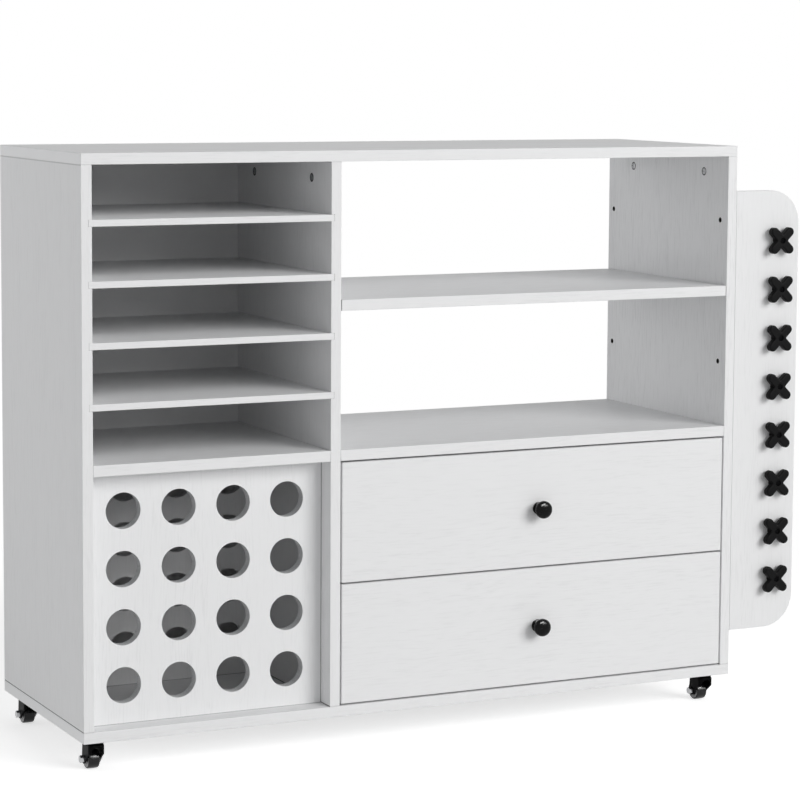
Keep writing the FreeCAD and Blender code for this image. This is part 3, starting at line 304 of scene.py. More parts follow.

# %% [markdown]
# ## Edges and joints of a board
# A board tells more than its grain. Its edge tape ends in a hairline one millimetre from the edge,
# and at its ends the joint to the next board, with the shade inside it, is painted as a fine dark
# line. Both follow from one measure: how deep a point lies inside the board's box, along each axis.
# The tape on a board's end is laid from front to back, so the grain turns there.

# %% Tape lines and painted joint shade
TAPE = 0.001
TAPE_LINE = (0.00008, 0.0002)
TAPE_LINE_SHARE = 0.22
TAPE_LINE_TONE = 0.6
END_TAPE = 1.09
ON_END = 0.00005
JOINT_WIDTH = 0.0011
FOOT_JOINT_WIDTH = 0.0017
JOINT_CORE = 0.6
# Painted shade: the near-black tone of the lines that stand for the shade in the joints.
JOINT_SHADE_TONE = 0.06
JOINT_ON_EDGE = 0.16
FRONT_EDGE = (0.0001, 0.0006)
NEAR_MIDDLE = 0.01


def turned_on_ends(tree, place, on_end):
    """Swaps left-right and front-back where on_end is 1, which turns the grain on a board's ends."""
    parts = split(tree, place)
    turned = add(tree, "CombineXYZ", {"X": parts["Y"], "Y": parts["X"], "Z": parts["Z"]}).outputs[0]
    return add(tree, "Mix", {0: on_end, 4: place, 5: turned}, data_type="VECTOR").outputs[1]


def tape_lines(tree, shade, depth, axes):
    """Draws the hairline beside the edges that lie across each axis."""
    for axis in axes:
        beside = math_of(tree, "ABSOLUTE", math_of(tree, "SUBTRACT", depth[axis], TAPE))
        line = spread(tree, beside, *TAPE_LINE, TAPE_LINE_SHARE, 0.0)
        shade = mixed(tree, line, shade, tone(FOIL, TAPE_LINE_TONE))
    return shade


def joint_shade_lines(tree, shade, depth, side, joints, width, faint_front):
    """Paints the joint at a board's ends, with the shade inside it, as a dark line. Each axis has a share
    for its low and its high end.
    """
    for axis, (low_share, high_share) in joints.items():
        line = spread(tree, depth[axis], width * JOINT_CORE, width, 1.0, 0.0)
        share = spread(tree, side[axis], -NEAR_MIDDLE, NEAR_MIDDLE, low_share, high_share)
        line = math_of(tree, "MULTIPLY", line, share)
        if faint_front:
            behind = spread(tree, depth["Y"], *FRONT_EDGE, JOINT_ON_EDGE, 1.0)
            line = math_of(tree, "MULTIPLY", line, behind)
        shade = mixed(tree, line, shade, tone(FOIL, JOINT_SHADE_TONE))
    return shade


print("tape ends", 1000 * TAPE, "mm from the edge, joint lines are", 1000 * JOINT_WIDTH, "mm wide")

# %% [markdown]
# ## Holes and cut walls of a board
# The walls of a hole show what lies under the foil: bare chipboard on most boards and paint on the
# roll panels. In the uprights the walls of the bores are painted near-black for the shade inside them.
# A point on a drilled wall is deep inside the board's box along all three axes, so the same measure
# finds it. The shelf pin holes also get a ring of painted shade round their lips.

# %% Bores and cut walls
CORE = (0.30, 0.21, 0.13)
PAINTED_CORE = (0.66, 0.665, 0.675)
# Painted shade: near-black for the shade inside the uprights' deep pin holes, on their walls and round
# their lips.
BORE_SHADE = (0.02, 0.018, 0.016)
CUT_DEPTH = 0.0005
FLAKES = 900.0
FLAKE_TONES = (0.82, 1.12)
FLAKE_RELIEF = 0.00015
PIN_PITCH = 0.1033
PIN_RADIUS = 0.003175
PIN_LIP = 0.0039
PIN_LIP_BLUR = 0.0002


def pin_reach(tree, place):
    """The distance from the nearest shelf pin hole's axis.

    The holes lie in two columns and three rows, so the place is folded onto one of them.
    """
    low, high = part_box("shelf_pins")
    parts = split(tree, vector_of(tree, "SUBTRACT", place, tuple((low + high) / 2)))
    row = math_of(tree, "ROUND", math_of(tree, "DIVIDE", parts["Z"], PIN_PITCH))
    row = math_of(tree, "MINIMUM", math_of(tree, "MAXIMUM", row, -1.0), 1.0)
    up = math_of(tree, "SUBTRACT", parts["Z"], math_of(tree, "MULTIPLY", row, PIN_PITCH))
    column = (high.y - low.y) / 2 - PIN_RADIUS
    level = math_of(tree, "SUBTRACT", math_of(tree, "ABSOLUTE", parts["Y"]), column)
    squares = math_of(tree, "ADD", math_of(tree, "MULTIPLY", up, up),
                      math_of(tree, "MULTIPLY", level, level))
    return math_of(tree, "SQRT", squares)


def pin_lip_shade(tree, shade, place, side_x, pin_side):
    """Paints shade round the lips of the pin holes on the face to the side pin_side, 1 or -1."""
    lip = spread(tree, pin_reach(tree, place), PIN_LIP - PIN_LIP_BLUR, PIN_LIP, 1.0, 0.0)
    facing = spread(tree, math_of(tree, "MULTIPLY", side_x, pin_side), 0.0, 0.001)
    return mixed(tree, math_of(tree, "MULTIPLY", lip, facing), shade, tone(BORE_SHADE))


def cut_wall(tree, place, core):
    """The flaky, dull surface where a board is cut, in the colour given as core; in the uprights' bores
    that colour is painted shade.
    """
    flakes = add(tree, "TexVoronoi", {"Vector": place, "Scale": FLAKES}).outputs["Color"]
    flake = add(tree, "SeparateColor", {"Color": flakes}).outputs[0]
    wall = mixed(tree, flake, tone(core, FLAKE_TONES[0]), tone(core, FLAKE_TONES[1]))
    relief = add(tree, "Bump", {"Strength": 0.5, "Distance": FLAKE_RELIEF, "Height": flake}).outputs[0]
    return add(tree, "BsdfPrincipled", {"Base Color": wall, "Roughness": 0.8, "Normal": relief,
                                        "Specular IOR Level": 0.2}).outputs[0]


print("pin holes every", PIN_PITCH, "m")

# %% [markdown]
# ## The finish of one board
# Grain, tape, joints, lips and cut walls come together here. Each board gets a finish of its own,
# because its lines follow its own box.

# %% Foil finish
FOIL_RELIEF = 0.00007
FOIL_ROUGHNESS = (0.5, 0.6)
FOIL_GLOSS = 0.2
NOISE_RANGE = (0.3, 0.7)


def foil_board(node, axis, joints=None, tape="Y", core=CORE, faint_front=True, joint_width=JOINT_WIDTH,
               contrast=1.0, pin_side=0):
    """White embossed foil for one board, whose grain runs along one axis.

    For each axis in joints, two shares tell how dark the joint lines, with their painted shade, are at
    its low and high end. They fade on the front edge, where the boards lie flush. Tape lines run beside
    the edges in tape. A higher contrast strengthens the grain's colour, as painted light and shade where
    light grazes its relief. Pin holes open to the side pin_side, 1 or -1, with painted shade round their
    lips.
    """
    finish, tree = shader_tree("foil_" + node)
    real_place = add(tree, "TexCoord").outputs["Object"]
    low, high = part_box(node)
    from_middle = vector_of(tree, "SUBTRACT", real_place, tuple((low + high) / 2))
    off = vector_of(tree, "ABSOLUTE", from_middle)
    depth = split(tree, vector_of(tree, "SUBTRACT", tuple((high - low) / 2), off))
    side = split(tree, from_middle)

    place = real_place
    if axis == "X":
        on_end = math_of(tree, "LESS_THAN", depth["X"], ON_END)
        place = turned_on_ends(tree, real_place, on_end)
    shade, height, lines = wood_grain(tree, place, axis, contrast)
    if axis == "X":
        shade = mixed(tree, on_end, shade, tone(FOIL, END_TAPE))
    shade = tape_lines(tree, shade, depth, tape)
    shade = joint_shade_lines(tree, shade, depth, side, joints or {}, joint_width, faint_front)
    if pin_side:
        shade = pin_lip_shade(tree, shade, real_place, side["X"], pin_side)

    bump = add(tree, "Bump", {"Strength": 0.3, "Distance": FOIL_RELIEF, "Height": height}).outputs[0]
    rough = spread(tree, lines, *NOISE_RANGE, *FOIL_ROUGHNESS)
    shown = add(tree, "BsdfPrincipled", {"Base Color": shade, "Roughness": rough, "Normal": bump,
                                         "Specular IOR Level": FOIL_GLOSS}).outputs[0]
    if core:
        inside = math_of(tree, "MINIMUM", math_of(tree, "MINIMUM", depth["X"], depth["Y"]), depth["Z"])
        is_cut = math_of(tree, "GREATER_THAN", inside, CUT_DEPTH)
        shown = add(tree, "MixShader", {0: is_cut, 1: shown, 2: cut_wall(tree, place, core)}).outputs[0]
    add(tree, "OutputMaterial", {"Surface": shown})
    return finish


print("foil roughness", FOIL_ROUGHNESS)

# %% [markdown]
# ## Metal, plastic and thin sheet
# The small finishes share one recipe: a base colour, a fine noise that varies it, and the same noise
# as a very low relief. One plain colour would be quicker, but seen from near it looks like no material
# at all. Plated steel is smooth, the drawer rails are powder-coated white, and the black pieces are
# moulded plastic or painted steel with different gloss.

# %% Small finishes
FINE_SHARE = 0.6
CLOUD_SCALE = 0.06
TINT_RANGE = (0.32, 0.68)


def plain_finish(name, colour, roughness, metal=0.0, grain=900.0, vary=0.12, relief=0.00002, gloss=0.5,
                 uneven=0.08):
    """A finish with a fine noise in its colour, roughness and relief, and larger clouds in the first two.

    The colour varies by the share vary to both sides, and the roughness by half of uneven.
    """
    finish, tree = shader_tree(name)
    place = add(tree, "TexCoord").outputs["Object"]
    noise = add(tree, "TexNoise", {"Vector": place, "Scale": grain, "Detail": 3.0}).outputs["Fac"]
    clouds = add(tree, "TexNoise", {"Vector": place, "Scale": grain * CLOUD_SCALE,
                                    "Detail": 2.0}).outputs["Fac"]
    both = math_of(tree, "ADD", math_of(tree, "MULTIPLY", noise, FINE_SHARE),
                   math_of(tree, "MULTIPLY", clouds, 1.0 - FINE_SHARE))
    tinted = mixed(tree, spread(tree, both, *TINT_RANGE), tone(colour, 1.0 - vary),
                   tone(colour, 1.0 + vary))
    rough = spread(tree, both, *NOISE_RANGE, roughness - uneven / 2, roughness + uneven / 2)
    bump = add(tree, "Bump", {"Strength": 0.4, "Distance": relief, "Height": noise}).outputs[0]
    shader = add(tree, "BsdfPrincipled", {"Base Color": tinted, "Roughness": rough, "Normal": bump,
                                          "Metallic": metal, "Specular IOR Level": gloss})
    add(tree, "OutputMaterial", {"Surface": shader.outputs[0]})
    return finish


white_sheet = plain_finish("white_fibre_sheet", (0.81, 0.813, 0.82), roughness=0.6, grain=420.0,
                           vary=0.012)
beech = plain_finish("beech", (0.56, 0.38, 0.22), roughness=0.62, grain=700.0, vary=0.16,
                     relief=0.00005)
plated_steel = plain_finish("plated_steel", (0.46, 0.465, 0.475), roughness=0.28, metal=1.0,
                            grain=1100.0, vary=0.05)
rail_white = plain_finish("white_powder_coat", (0.79, 0.795, 0.8), roughness=0.42, grain=2400.0,
                          vary=0.01, relief=0.00004)
knob_black = plain_finish("glossy_black", (0.003, 0.003, 0.0032), roughness=0.14, grain=260.0,
                          vary=0.1, relief=0.00001, gloss=0.12, uneven=0.03)
peg_black = plain_finish("satin_black", (0.004, 0.004, 0.0043), roughness=0.4, grain=2200.0,
                         vary=0.2, gloss=0.09)
screw_black = plain_finish("blackened_steel", (0.003, 0.003, 0.0035), roughness=0.5, grain=1500.0,
                           gloss=0.04)
caster_black = plain_finish("painted_black_steel", (0.003, 0.003, 0.0033), roughness=0.3,
                            grain=1300.0, vary=0.2, gloss=0.03)
wheel_black = plain_finish("black_wheel", (0.007, 0.007, 0.0074), roughness=0.17, grain=1500.0,
                           vary=0.15, gloss=0.28)
hub_grey = plain_finish("grey_hub", (0.27, 0.27, 0.275), roughness=0.36, grain=1500.0, vary=0.08)
print("finishes so far:", len(bpy.data.materials))

# %% [markdown]
# ## Cam locks
# A cam lock is a zinc disc that sits flush in the upright. Its rim is a shallow channel round a paler
# face with a cross slot, and the shade in that channel is painted as a dark ring. All cams lie in two
# rows and two columns on each upright, so folding the coordinates about the middle of the rows and
# columns brings them onto one circle, and the distance from its centre tells rim from face.

# %% Cam finish
CAM_RADIUS = 0.006
CAM_RIM = (0.0043, 0.0047)
# Painted shade: the dark ring that stands for the shade in the cam's rim channel.
CAM_RIM_SHADE = (0.03, 0.03, 0.032)


def cam_finish():
    """Cast zinc with painted shade in its rim channel."""
    finish = plain_finish("cast_zinc", (0.43, 0.435, 0.445), 0.45, metal=1.0, grain=1500.0, vary=0.1)
    tree = finish.node_tree
    shader = next(n for n in tree.nodes if n.type == "BSDF_PRINCIPLED")
    face = shader.inputs["Base Color"].links[0].from_socket
    place = add(tree, "TexCoord").outputs["Object"]
    low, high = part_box("cam_locks")
    half = (high - low) / 2
    off = vector_of(tree, "ABSOLUTE", vector_of(tree, "SUBTRACT", place, tuple((low + high) / 2)))
    folded = vector_of(tree, "SUBTRACT", off, (0.0, half.y - CAM_RADIUS, half.z - CAM_RADIUS))
    flat = vector_of(tree, "MULTIPLY", folded, (0.0, 1.0, 1.0))
    rim = spread(tree, length_of(tree, flat), *CAM_RIM)
    tree.links.new(mixed(tree, rim, face, tone(CAM_RIM_SHADE)), shader.inputs["Base Color"])
    return finish


cam_zinc = cam_finish()
print("cam finish", cam_zinc.name)

# %% [markdown]
# ## Finishes on the solid pieces
# Each piece of the solid model already has a material slot, so a finish is put into it. The grain
# follows the way each board is cut: upright on the sides, the divider and the roll panels, level on
# the top, bottom, shelves and drawer fronts, and from front to back on the drawer sides.

# %% Dress the solid pieces
FINISH_OF = {
    white_sheet: ["left_back_panel", "drawer_bay_back_panel", "drawer_lower_bottom",
                  "drawer_upper_bottom"],
    beech: ["wood_dowels"],
    cam_zinc: ["cam_locks"],
    plated_steel: ["cam_bolts", "shelf_pins", "cabinet_screws", "drawer_lower_knob_screw",
                   "drawer_upper_knob_screw", "drawer_lower_rail_screws", "drawer_upper_rail_screws",
                   "hinge_leaves_cabinet", "hinge_leaves_wing", "hinge_screws_wing"],
    rail_white: ["cabinet_rails", "drawer_lower_rails", "drawer_upper_rails"],
    screw_black: ["peg_screws"],
    caster_black: ["caster_plates"],
}
CASTERS = ["front_left", "front_right", "back_left", "back_right"]
for corner in CASTERS:
    FINISH_OF[plated_steel].append("caster_" + corner + "_axle")


def dress(piece, finish):
    """Puts one finish into every material slot of a piece."""
    if not piece.material_slots:
        piece.data.materials.append(finish)
    for opening in piece.material_slots:
        opening.material = finish


# Painted light: the right side panel's grain has twice the contrast, standing in for the light that grazes
# its relief inside the bays.
UPRIGHTS = {
    "left_side_panel": {},
    "divider_panel": {"pin_side": 1},
    "right_side_panel": {"pin_side": -1, "contrast": 2.0},
}
SHELVES = ["thin_shelf_1", "thin_shelf_2", "thin_shelf_3", "thin_shelf_4", "fixed_shelf", "drawer_deck",
           "adjustable_shelf"]
# Painted shade: the uprights' joint lines are nearly black at the foot, which lies in shade, and faint at
# the top.
for node, extra in UPRIGHTS.items():
    dress(nodes[node], foil_board(node, "Z", joints={"Z": (0.95, 0.28)}, core=BORE_SHADE,
                                  joint_width=FOOT_JOINT_WIDTH, **extra))
for node in ("top_board", "bottom_board"):
    dress(nodes[node], foil_board(node, "X"))
for node in SHELVES:
    dress(nodes[node], foil_board(node, "X", joints={"X": (0.5, 0.5)}))
for node in ("roll_panel_front", "roll_panel_rear"):
    dress(nodes[node], foil_board(node, "Z", joints={"X": (0.75, 0.75), "Z": (0.5, 0.3)}, tape="",
                                  core=PAINTED_CORE, faint_front=False))
dress(nodes["wing_panel"], foil_board("wing_panel", "Z", tape="", core=None))
for level in ("lower", "upper"):
    dress(nodes["drawer_" + level + "_front"], foil_board("drawer_" + level + "_front", "X", tape="XZ"))
    dress(nodes["drawer_" + level + "_back"], foil_board("drawer_" + level + "_back", "X", tape=""))
    for side in ("_side_left", "_side_right"):
        dress(nodes["drawer_" + level + side], foil_board("drawer_" + level + side, "Y", tape="Z"))
for finish, names in FINISH_OF.items():
    for name in names:
        dress(nodes[name], finish)
print("finishes made:", len(bpy.data.materials))

# %% [markdown]
# ## Surfaces from numbers
# The round and pressed pieces are grids of points. A function gives the place of each point from two
# parameters, the whole grid is computed at once, and neighbouring points become four-sided faces. A
# grid that closes on itself in both directions, like a ring, needs no caps.

# %% Grid to mesh
def skin(name, grids, finish, body, stands_for, sharp=35.0):
    """Makes one piece from point grids that close in both directions.

    A grid has the shape (m, n, 3). Point (i, j) joins its neighbours (i + 1, j) and (i, j + 1), and
    both counts start again at their ends.
    """
    points = []
    faces = []
    start = 0
    for grid in grids:
        m, n = grid.shape[:2]
        number = np.arange(m * n).reshape(m, n) + start
        right = np.roll(number, -1, axis=1)
        faces.append(np.stack([number, right, np.roll(right, -1, axis=0), np.roll(number, -1, axis=0)],
                              axis=-1).reshape(-1, 4))
        points.append(grid.reshape(-1, 3))
        start += m * n
    points = np.concatenate(points)
    faces = np.concatenate(faces)
    mesh = bpy.data.meshes.new(name)
    mesh.from_pydata(points.tolist(), [], faces.tolist())
    mesh.validate()
    close_up(mesh)
    mesh.polygons.foreach_set("use_smooth", np.ones(len(mesh.polygons), dtype=bool))
    mesh.set_sharp_from_angle(angle=math.radians(sharp))
    mesh.update()
    piece = bpy.data.objects.new(name, mesh)
    bpy.context.scene.collection.objects.link(piece)
    mesh.materials.append(finish)
    if finish in (knob_black, wheel_black):
        shiny_pieces.objects.link(piece)
    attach(piece, body)
    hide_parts(stands_for)
    print(name, len(mesh.polygons), "faces")
    return piece


def close_up(mesh):
    """Merges points that fall together, such as the pole of a ball, and turns all faces outward."""
    work = bmesh.new()
    work.from_mesh(mesh)
    bmesh.ops.remove_doubles(work, verts=work.verts, dist=1e-7)
    bmesh.ops.recalc_face_normals(work, faces=work.faces)
    work.to_mesh(mesh)
    work.free()


def lathe(profile, origin, axis, count=96):
    """Turns a profile of (radius, height) points about an axis.

    Point (i, j) lies at origin + height[j] axis + radius[j] (cos a side + sin a up), a = 2 pi i / count.
    """
    axis = np.array(axis, float)
    side = np.array((0.0, 0.0, 1.0)) if abs(axis[2]) < 0.5 else np.array((1.0, 0.0, 0.0))
    up = np.cross(axis, side)
    angle = np.linspace(0, 2 * np.pi, count, endpoint=False)[:, None, None]
    radius = profile[None, :, 0, None]
    height = profile[None, :, 1, None]
    return np.array(origin) + height * axis + radius * (np.cos(angle) * side + np.sin(angle) * up)


def arc(middle, radius, start, end, count):
    """Points at middle + radius (cos a, sin a), with a from start to end in degrees."""
    angle = np.radians(np.linspace(start, end, count))
    return np.stack([middle[0] + radius * np.cos(angle), middle[1] + radius * np.sin(angle)], axis=-1)


def box_middle(name):
    """The middle of a solid piece's box."""
    low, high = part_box(name)
    return (np.array(low) + np.array(high)) / 2


print("surface helpers are ready")

# %% [markdown]
# ## Knobs
# A knob is a body of revolution: a collar that lies on the drawer front, a neck, and a flattened ball
# with a high gloss. It could be put together from a ball and two discs, but their seams would show in
# the gloss. So its outline is drawn once, from the collar to the tip, and turned about an axis that
# points to the front. A dense outline keeps the highlight round.

# %% Knob shape
KNOB_LENGTH = 24.0
KNOB_HEAD_RADIUS = 12.5
KNOB_HEAD_HALF = 8.0
KNOB_COLLAR_RADIUS = 9.0
KNOB_NECK_RADIUS = 6.5
KNOB_BORE = 2.1
KNOB_BORE_DEPTH = 12.0
KNOB_FULLNESS = 2.3
COLLAR_BACK_ROUND = 0.4
COLLAR_FRONT_ROUND = 0.5
COLLAR_ROUND_AT = 1.8
NECK_START = 2.9
NECK_ROUND = 1.2


def knob_outline():
    """Radius and height from the back, through the collar and neck, over the ball, to its tip.

    The ball is a rounded disc: |r / R| ^ p + |h / H| ^ p = 1, with p = KNOB_FULLNESS.
    """
    a = np.radians(np.linspace(-62, 90, 70))
    power = 2.0 / KNOB_FULLNESS
    ball = np.stack([KNOB_HEAD_RADIUS * np.abs(np.cos(a)) ** power,
                     KNOB_LENGTH - KNOB_HEAD_HALF
                     + KNOB_HEAD_HALF * np.sign(np.sin(a)) * np.abs(np.sin(a)) ** power], axis=-1)
    back_edge = (KNOB_COLLAR_RADIUS - COLLAR_BACK_ROUND, COLLAR_BACK_ROUND)
    front_edge = (KNOB_COLLAR_RADIUS - COLLAR_FRONT_ROUND, COLLAR_ROUND_AT)
    neck = (KNOB_NECK_RADIUS + NECK_ROUND, NECK_START + NECK_ROUND)
    collar = np.concatenate([[[KNOB_BORE, 0.0], [back_edge[0], 0.0]],
                             arc(back_edge, COLLAR_BACK_ROUND, -60, 0, 4),
                             arc(front_edge, COLLAR_FRONT_ROUND, 0, 70, 5),
                             [[KNOB_NECK_RADIUS + NECK_ROUND / 2, NECK_START]],
                             arc(neck, NECK_ROUND, 240, 180, 6)])
    tip = np.array([[0.0, KNOB_LENGTH], [0.0, KNOB_BORE_DEPTH], [KNOB_BORE, KNOB_BORE_DEPTH - 0.1]])
    ball = ball[ball[:, 0] >= KNOB_NECK_RADIUS - 0.3]
    return np.concatenate([collar, ball, tip]) * MM


for level in ("lower", "upper"):
    node = "drawer_" + level + "_knob"
    middle = box_middle(node)
    middle[1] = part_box(node)[1][1]
    skin("knob_" + level, [lathe(knob_outline(), middle, (0.0, -1.0, 0.0))], knob_black,
         "drawer_" + level, node)

# %% [markdown]
# ## Cross-shaped pegs
# Each peg is a moulded X on a short round foot, with a deep hole for its screw. Seen from the front
# the X is two bars with round ends. Two crossed bars could be merged, but the corners between them
# would stay sharp. In polar form a bar's edge is a simple function of the angle, and a soft maximum of
# the two bars joins them with small fillets. Rings of this outline, pulled in or out, run over the
# whole skin: up the foot, under the arms, round their edges and down the hole.

# %% Peg shape
PEG_SPAN = 38.4
PEG_ARM = 13.0
PEG_FOOT = 17.0
PEG_STANDOFF = 5.0
PEG_THICKNESS = 9.5
PEG_ROUND = 2.2
PEG_HOLE = 4.2
PEG_HOLE_EDGE = 0.9
PEG_HOLE_DEPTH = 4.0
PEG_BORE = 2.2


def cross_outline(count):
    """Points round the X and the directions that point out of it.

    A bar with half length h and end radius r reaches r / |sin| along its straight edge and
    h |cos| + sqrt(r^2 - h^2 sin^2) at its round end. The X takes the soft maximum (a^16 + b^16)^(1/16).
    """
    angle = np.linspace(0, 2 * np.pi, count, endpoint=False)
    r = PEG_ARM / 2
    h = (PEG_SPAN - PEG_ARM) / math.sqrt(2)
    reach = 0.0
    for turn in (np.pi / 4, -np.pi / 4):
        across = np.abs(np.sin(angle - turn))
        along = np.abs(np.cos(angle - turn))
        to_edge = r / np.maximum(across, 1e-9)
        to_end = h * along + np.sqrt(np.maximum(r ** 2 - (h * across) ** 2, 0.0))
        bar = np.where(to_edge * along <= h, to_edge, to_end)
        reach = reach + bar ** 16
    reach = reach ** (1 / 16)
    points = np.stack([reach * np.cos(angle), reach * np.sin(angle)], axis=-1)
    along = np.roll(points, -1, axis=0) - np.roll(points, 1, axis=0)
    out = np.stack([along[:, 1], -along[:, 0]], axis=-1)
    return angle, points, out / np.linalg.norm(out, axis=1, keepdims=True)


def peg_rings(count=128):
    """All rings of one peg: (ring, point on the ring, (x, height, z)), from the bore round to the bore."""
    angle, edge, out = cross_outline(count)
    circle = np.stack([np.cos(angle), np.sin(angle)], axis=-1)
    rings = []

    def ring(flat, height):
        rings.append(np.stack([flat[:, 0], np.full(count, height), flat[:, 1]], axis=-1))

    top = PEG_STANDOFF + PEG_THICKNESS
    ring(circle * PEG_BORE, 0.0)
    ring(circle * (PEG_FOOT / 2 - 0.5), 0.0)
    ring(circle * PEG_FOOT / 2, 0.5)
    ring(circle * PEG_FOOT / 2, PEG_STANDOFF - 0.4)
    ring(circle * (PEG_FOOT / 2 + 0.3), PEG_STANDOFF)
    for pull, rise in ((1.6, 0.0), (0.8, 0.0), (0.3, 0.25), (0.0, 0.9), (0.0, 4.0)):
        ring(edge - out * pull, PEG_STANDOFF + rise)
    for a in np.radians(np.linspace(0, 90, 9)):
        ring(edge - out * PEG_ROUND * (1 - math.cos(a)), top - PEG_ROUND * (1 - math.sin(a)))
    rim = edge - out * PEG_ROUND
    for share in (0.2, 0.45, 0.7, 0.9):
        ring(rim + (circle * (PEG_HOLE + PEG_HOLE_EDGE) - rim) * share, top)
    for a in np.radians(np.linspace(90, 0, 5)):
        wider = PEG_HOLE_EDGE * (1 - math.cos(a))
        deeper = PEG_HOLE_EDGE * (1 - math.sin(a))
        ring(circle * (PEG_HOLE + wider), top - deeper)
    ring(circle * PEG_HOLE, top - PEG_HOLE_DEPTH)
    ring(circle * PEG_BORE, top - PEG_HOLE_DEPTH)
    return np.array(rings)


print("one peg has", peg_rings().shape[0], "rings")

# %% Eight pegs in a column
PEG_COUNT = 8
peg_low, peg_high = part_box("wing_pegs")
PEG_PITCH = (peg_high.z - peg_low.z - PEG_SPAN * MM) / (PEG_COUNT - 1)
peg_pattern = peg_rings() * MM * np.array((1.0, -1.0, 1.0))
peg_x = (peg_low.x + peg_high.x) / 2
peg_grids = [peg_pattern + np.array((peg_x, peg_high.y, peg_low.z + PEG_SPAN / 2 * MM + i * PEG_PITCH))
             for i in range(PEG_COUNT)]
skin("pegs", peg_grids, peg_black, "peg_panel", "wing_pegs")
print("peg spacing", round(PEG_PITCH, 4))

# %% [markdown]
# ## Caster forks
# The fork is pressed from one sheet of steel: a flat crown, a rolled shoulder, a front apron whose
# edge arches over the wheel, and two cheeks that narrow down to the axle. It could be cut from a box,
# but its shoulder has the same roll all the way round, which a skin follows by itself. Seen from above
# its outline is a rounded rectangle. The skin runs out from the kingpin hole to this outline, over the
# shoulder, down to a lower edge whose height depends on the place, and back up inside at one sheet's
# distance.

# %% Fork from above
FORK_HALF_WIDTH = 11.25
FORK_HALF_LENGTH = 14.5
FORK_CORNER = 5.5
FORK_REAR_CORNER = 1.2


def straight(start, end, count, direction):
    """Points on a straight part of the outline, and the direction out of it at each point."""
    return np.linspace(start, end, count), np.tile(direction, (count, 1))


def corner_arc(middle, radius, start, end, count):
    """Points on a round corner without its two ends, and the directions out of it."""
    return arc(middle, radius, start, end, count)[1:-1], arc((0, 0), 1, start, end, count)[1:-1]


def fork_plan():
    """Points round the fork seen from above, and the directions that point out of it."""
    w, l, c, r = FORK_HALF_WIDTH, FORK_HALF_LENGTH, FORK_CORNER, FORK_REAR_CORNER
    parts = [
        straight((w, l - r), (w, -l + c), 34, (1.0, 0.0)),
        corner_arc((w - c, -l + c), c, 0, -90, 24),
        straight((w - c, -l), (-w + c, -l), 18, (0.0, -1.0)),
        corner_arc((-w + c, -l + c), c, -90, -180, 24),
        straight((-w, -l + c), (-w, l - r), 34, (-1.0, 0.0)),
        corner_arc((-w + r, l - r), r, 180, 90, 10),
        straight((-w + r, l), (w - r, l), 12, (0.0, 1.0)),
        corner_arc((w - r, l - r), r, 90, 0, 10),
    ]
    return np.concatenate([points for points, out in parts]), np.concatenate([out for points, out in parts])


print("points round the fork:", len(fork_plan()[0]))

# %% Fork's lower edge
FORK_TOP = 37.3
FORK_REAR_WALL = 4.2
APRON_SIDE_Z = 24.3
APRON_ARCH = 8.75
AXLE_Y = 10.0
AXLE_Z = 13.5
CHEEK_LEAN = 2.0
CHEEK_END_RADIUS = 6.5
CHEEK_END_REACH = 5.9
CHEEK_END_RISE = 2.6
SLANT_START = 0.55


def cheek_reach(y):
    """Where a cheek's point y lies at the axle's level: it leans back by its share of the fork's length."""
    return y + CHEEK_LEAN * (y + FORK_HALF_LENGTH) / (2 * FORK_HALF_LENGTH)


def lower_edge(plan):
    """Height of the fork's lower edge above the floor at each point of the plan.

    In front it is a half circle over x. Along the cheeks it is the lower of a slanting line and the
    round end about the axle. At the rear it climbs quickly to the crown, which leaves the rear open.
    """
    x, y = plan[:, 0], plan[:, 1]
    arch = APRON_SIDE_Z + np.sqrt(np.maximum(APRON_ARCH ** 2 - x ** 2, 0.0))
    ahead = cheek_reach(y) - AXLE_Y
    slope_start = -FORK_HALF_LENGTH + FORK_CORNER * SLANT_START
    slope = (APRON_SIDE_Z - AXLE_Z + CHEEK_END_RISE) / (AXLE_Y - CHEEK_END_REACH - slope_start)
    slant = APRON_SIDE_Z - slope * np.maximum(y - slope_start, 0.0)
    end = AXLE_Z - np.sqrt(np.maximum(CHEEK_END_RADIUS ** 2 - ahead ** 2, 0.0))
    low = np.where(ahead < -CHEEK_END_REACH, slant, np.where(ahead < 0, np.minimum(slant, end), end))
    low = np.where((y < 0) & (np.abs(x) < APRON_ARCH), arch, low)
    open_rear = np.clip(y - FORK_HALF_LENGTH + FORK_REAR_CORNER, 0.0, 1.0)
    return low + (FORK_TOP - FORK_REAR_WALL - low) * open_rear


print("lowest edge of the fork:", round(lower_edge(fork_plan()[0]).min(), 2), "mm above the floor")

# %% Fork skin
FORK_SHEET = 2.0
FORK_SHOULDER = 3.2
KINGPIN_HOLE = 3.1


def fork_wall(inset):
    """Rings of one face of the fork, from the kingpin hole to the lower edge, at an inset inward.

    The crown's rings share out the way from the hole to the shoulder. The shoulder is a quarter
    circle, and the walls share out the height down to the lower edge.
    """
    plan, out = fork_plan()
    low = lower_edge(plan)
    top = FORK_TOP - inset
    body = plan - out * inset
    shoulder = max(FORK_SHOULDER - inset, 0.4)
    direction = plan / np.linalg.norm(plan, axis=1, keepdims=True)
    hole = direction * KINGPIN_HOLE
    crown = body - out * shoulder
    rings = [np.column_stack([hole + (crown - hole) * share, np.full(len(plan), top)])
             for share in (0.0, 0.35, 0.7, 1.0)]
    for a in np.radians(np.linspace(12, 90, 8)):
        rings.append(np.column_stack([crown + out * shoulder * math.sin(a),
                                      np.full(len(plan), top - shoulder * (1 - math.cos(a)))]))
    start = top - shoulder
    for share in np.linspace(0, 1, 15)[1:]:
        rings.append(np.column_stack([body, start + (low - start) * share]))
    return lean_back(np.array(rings))


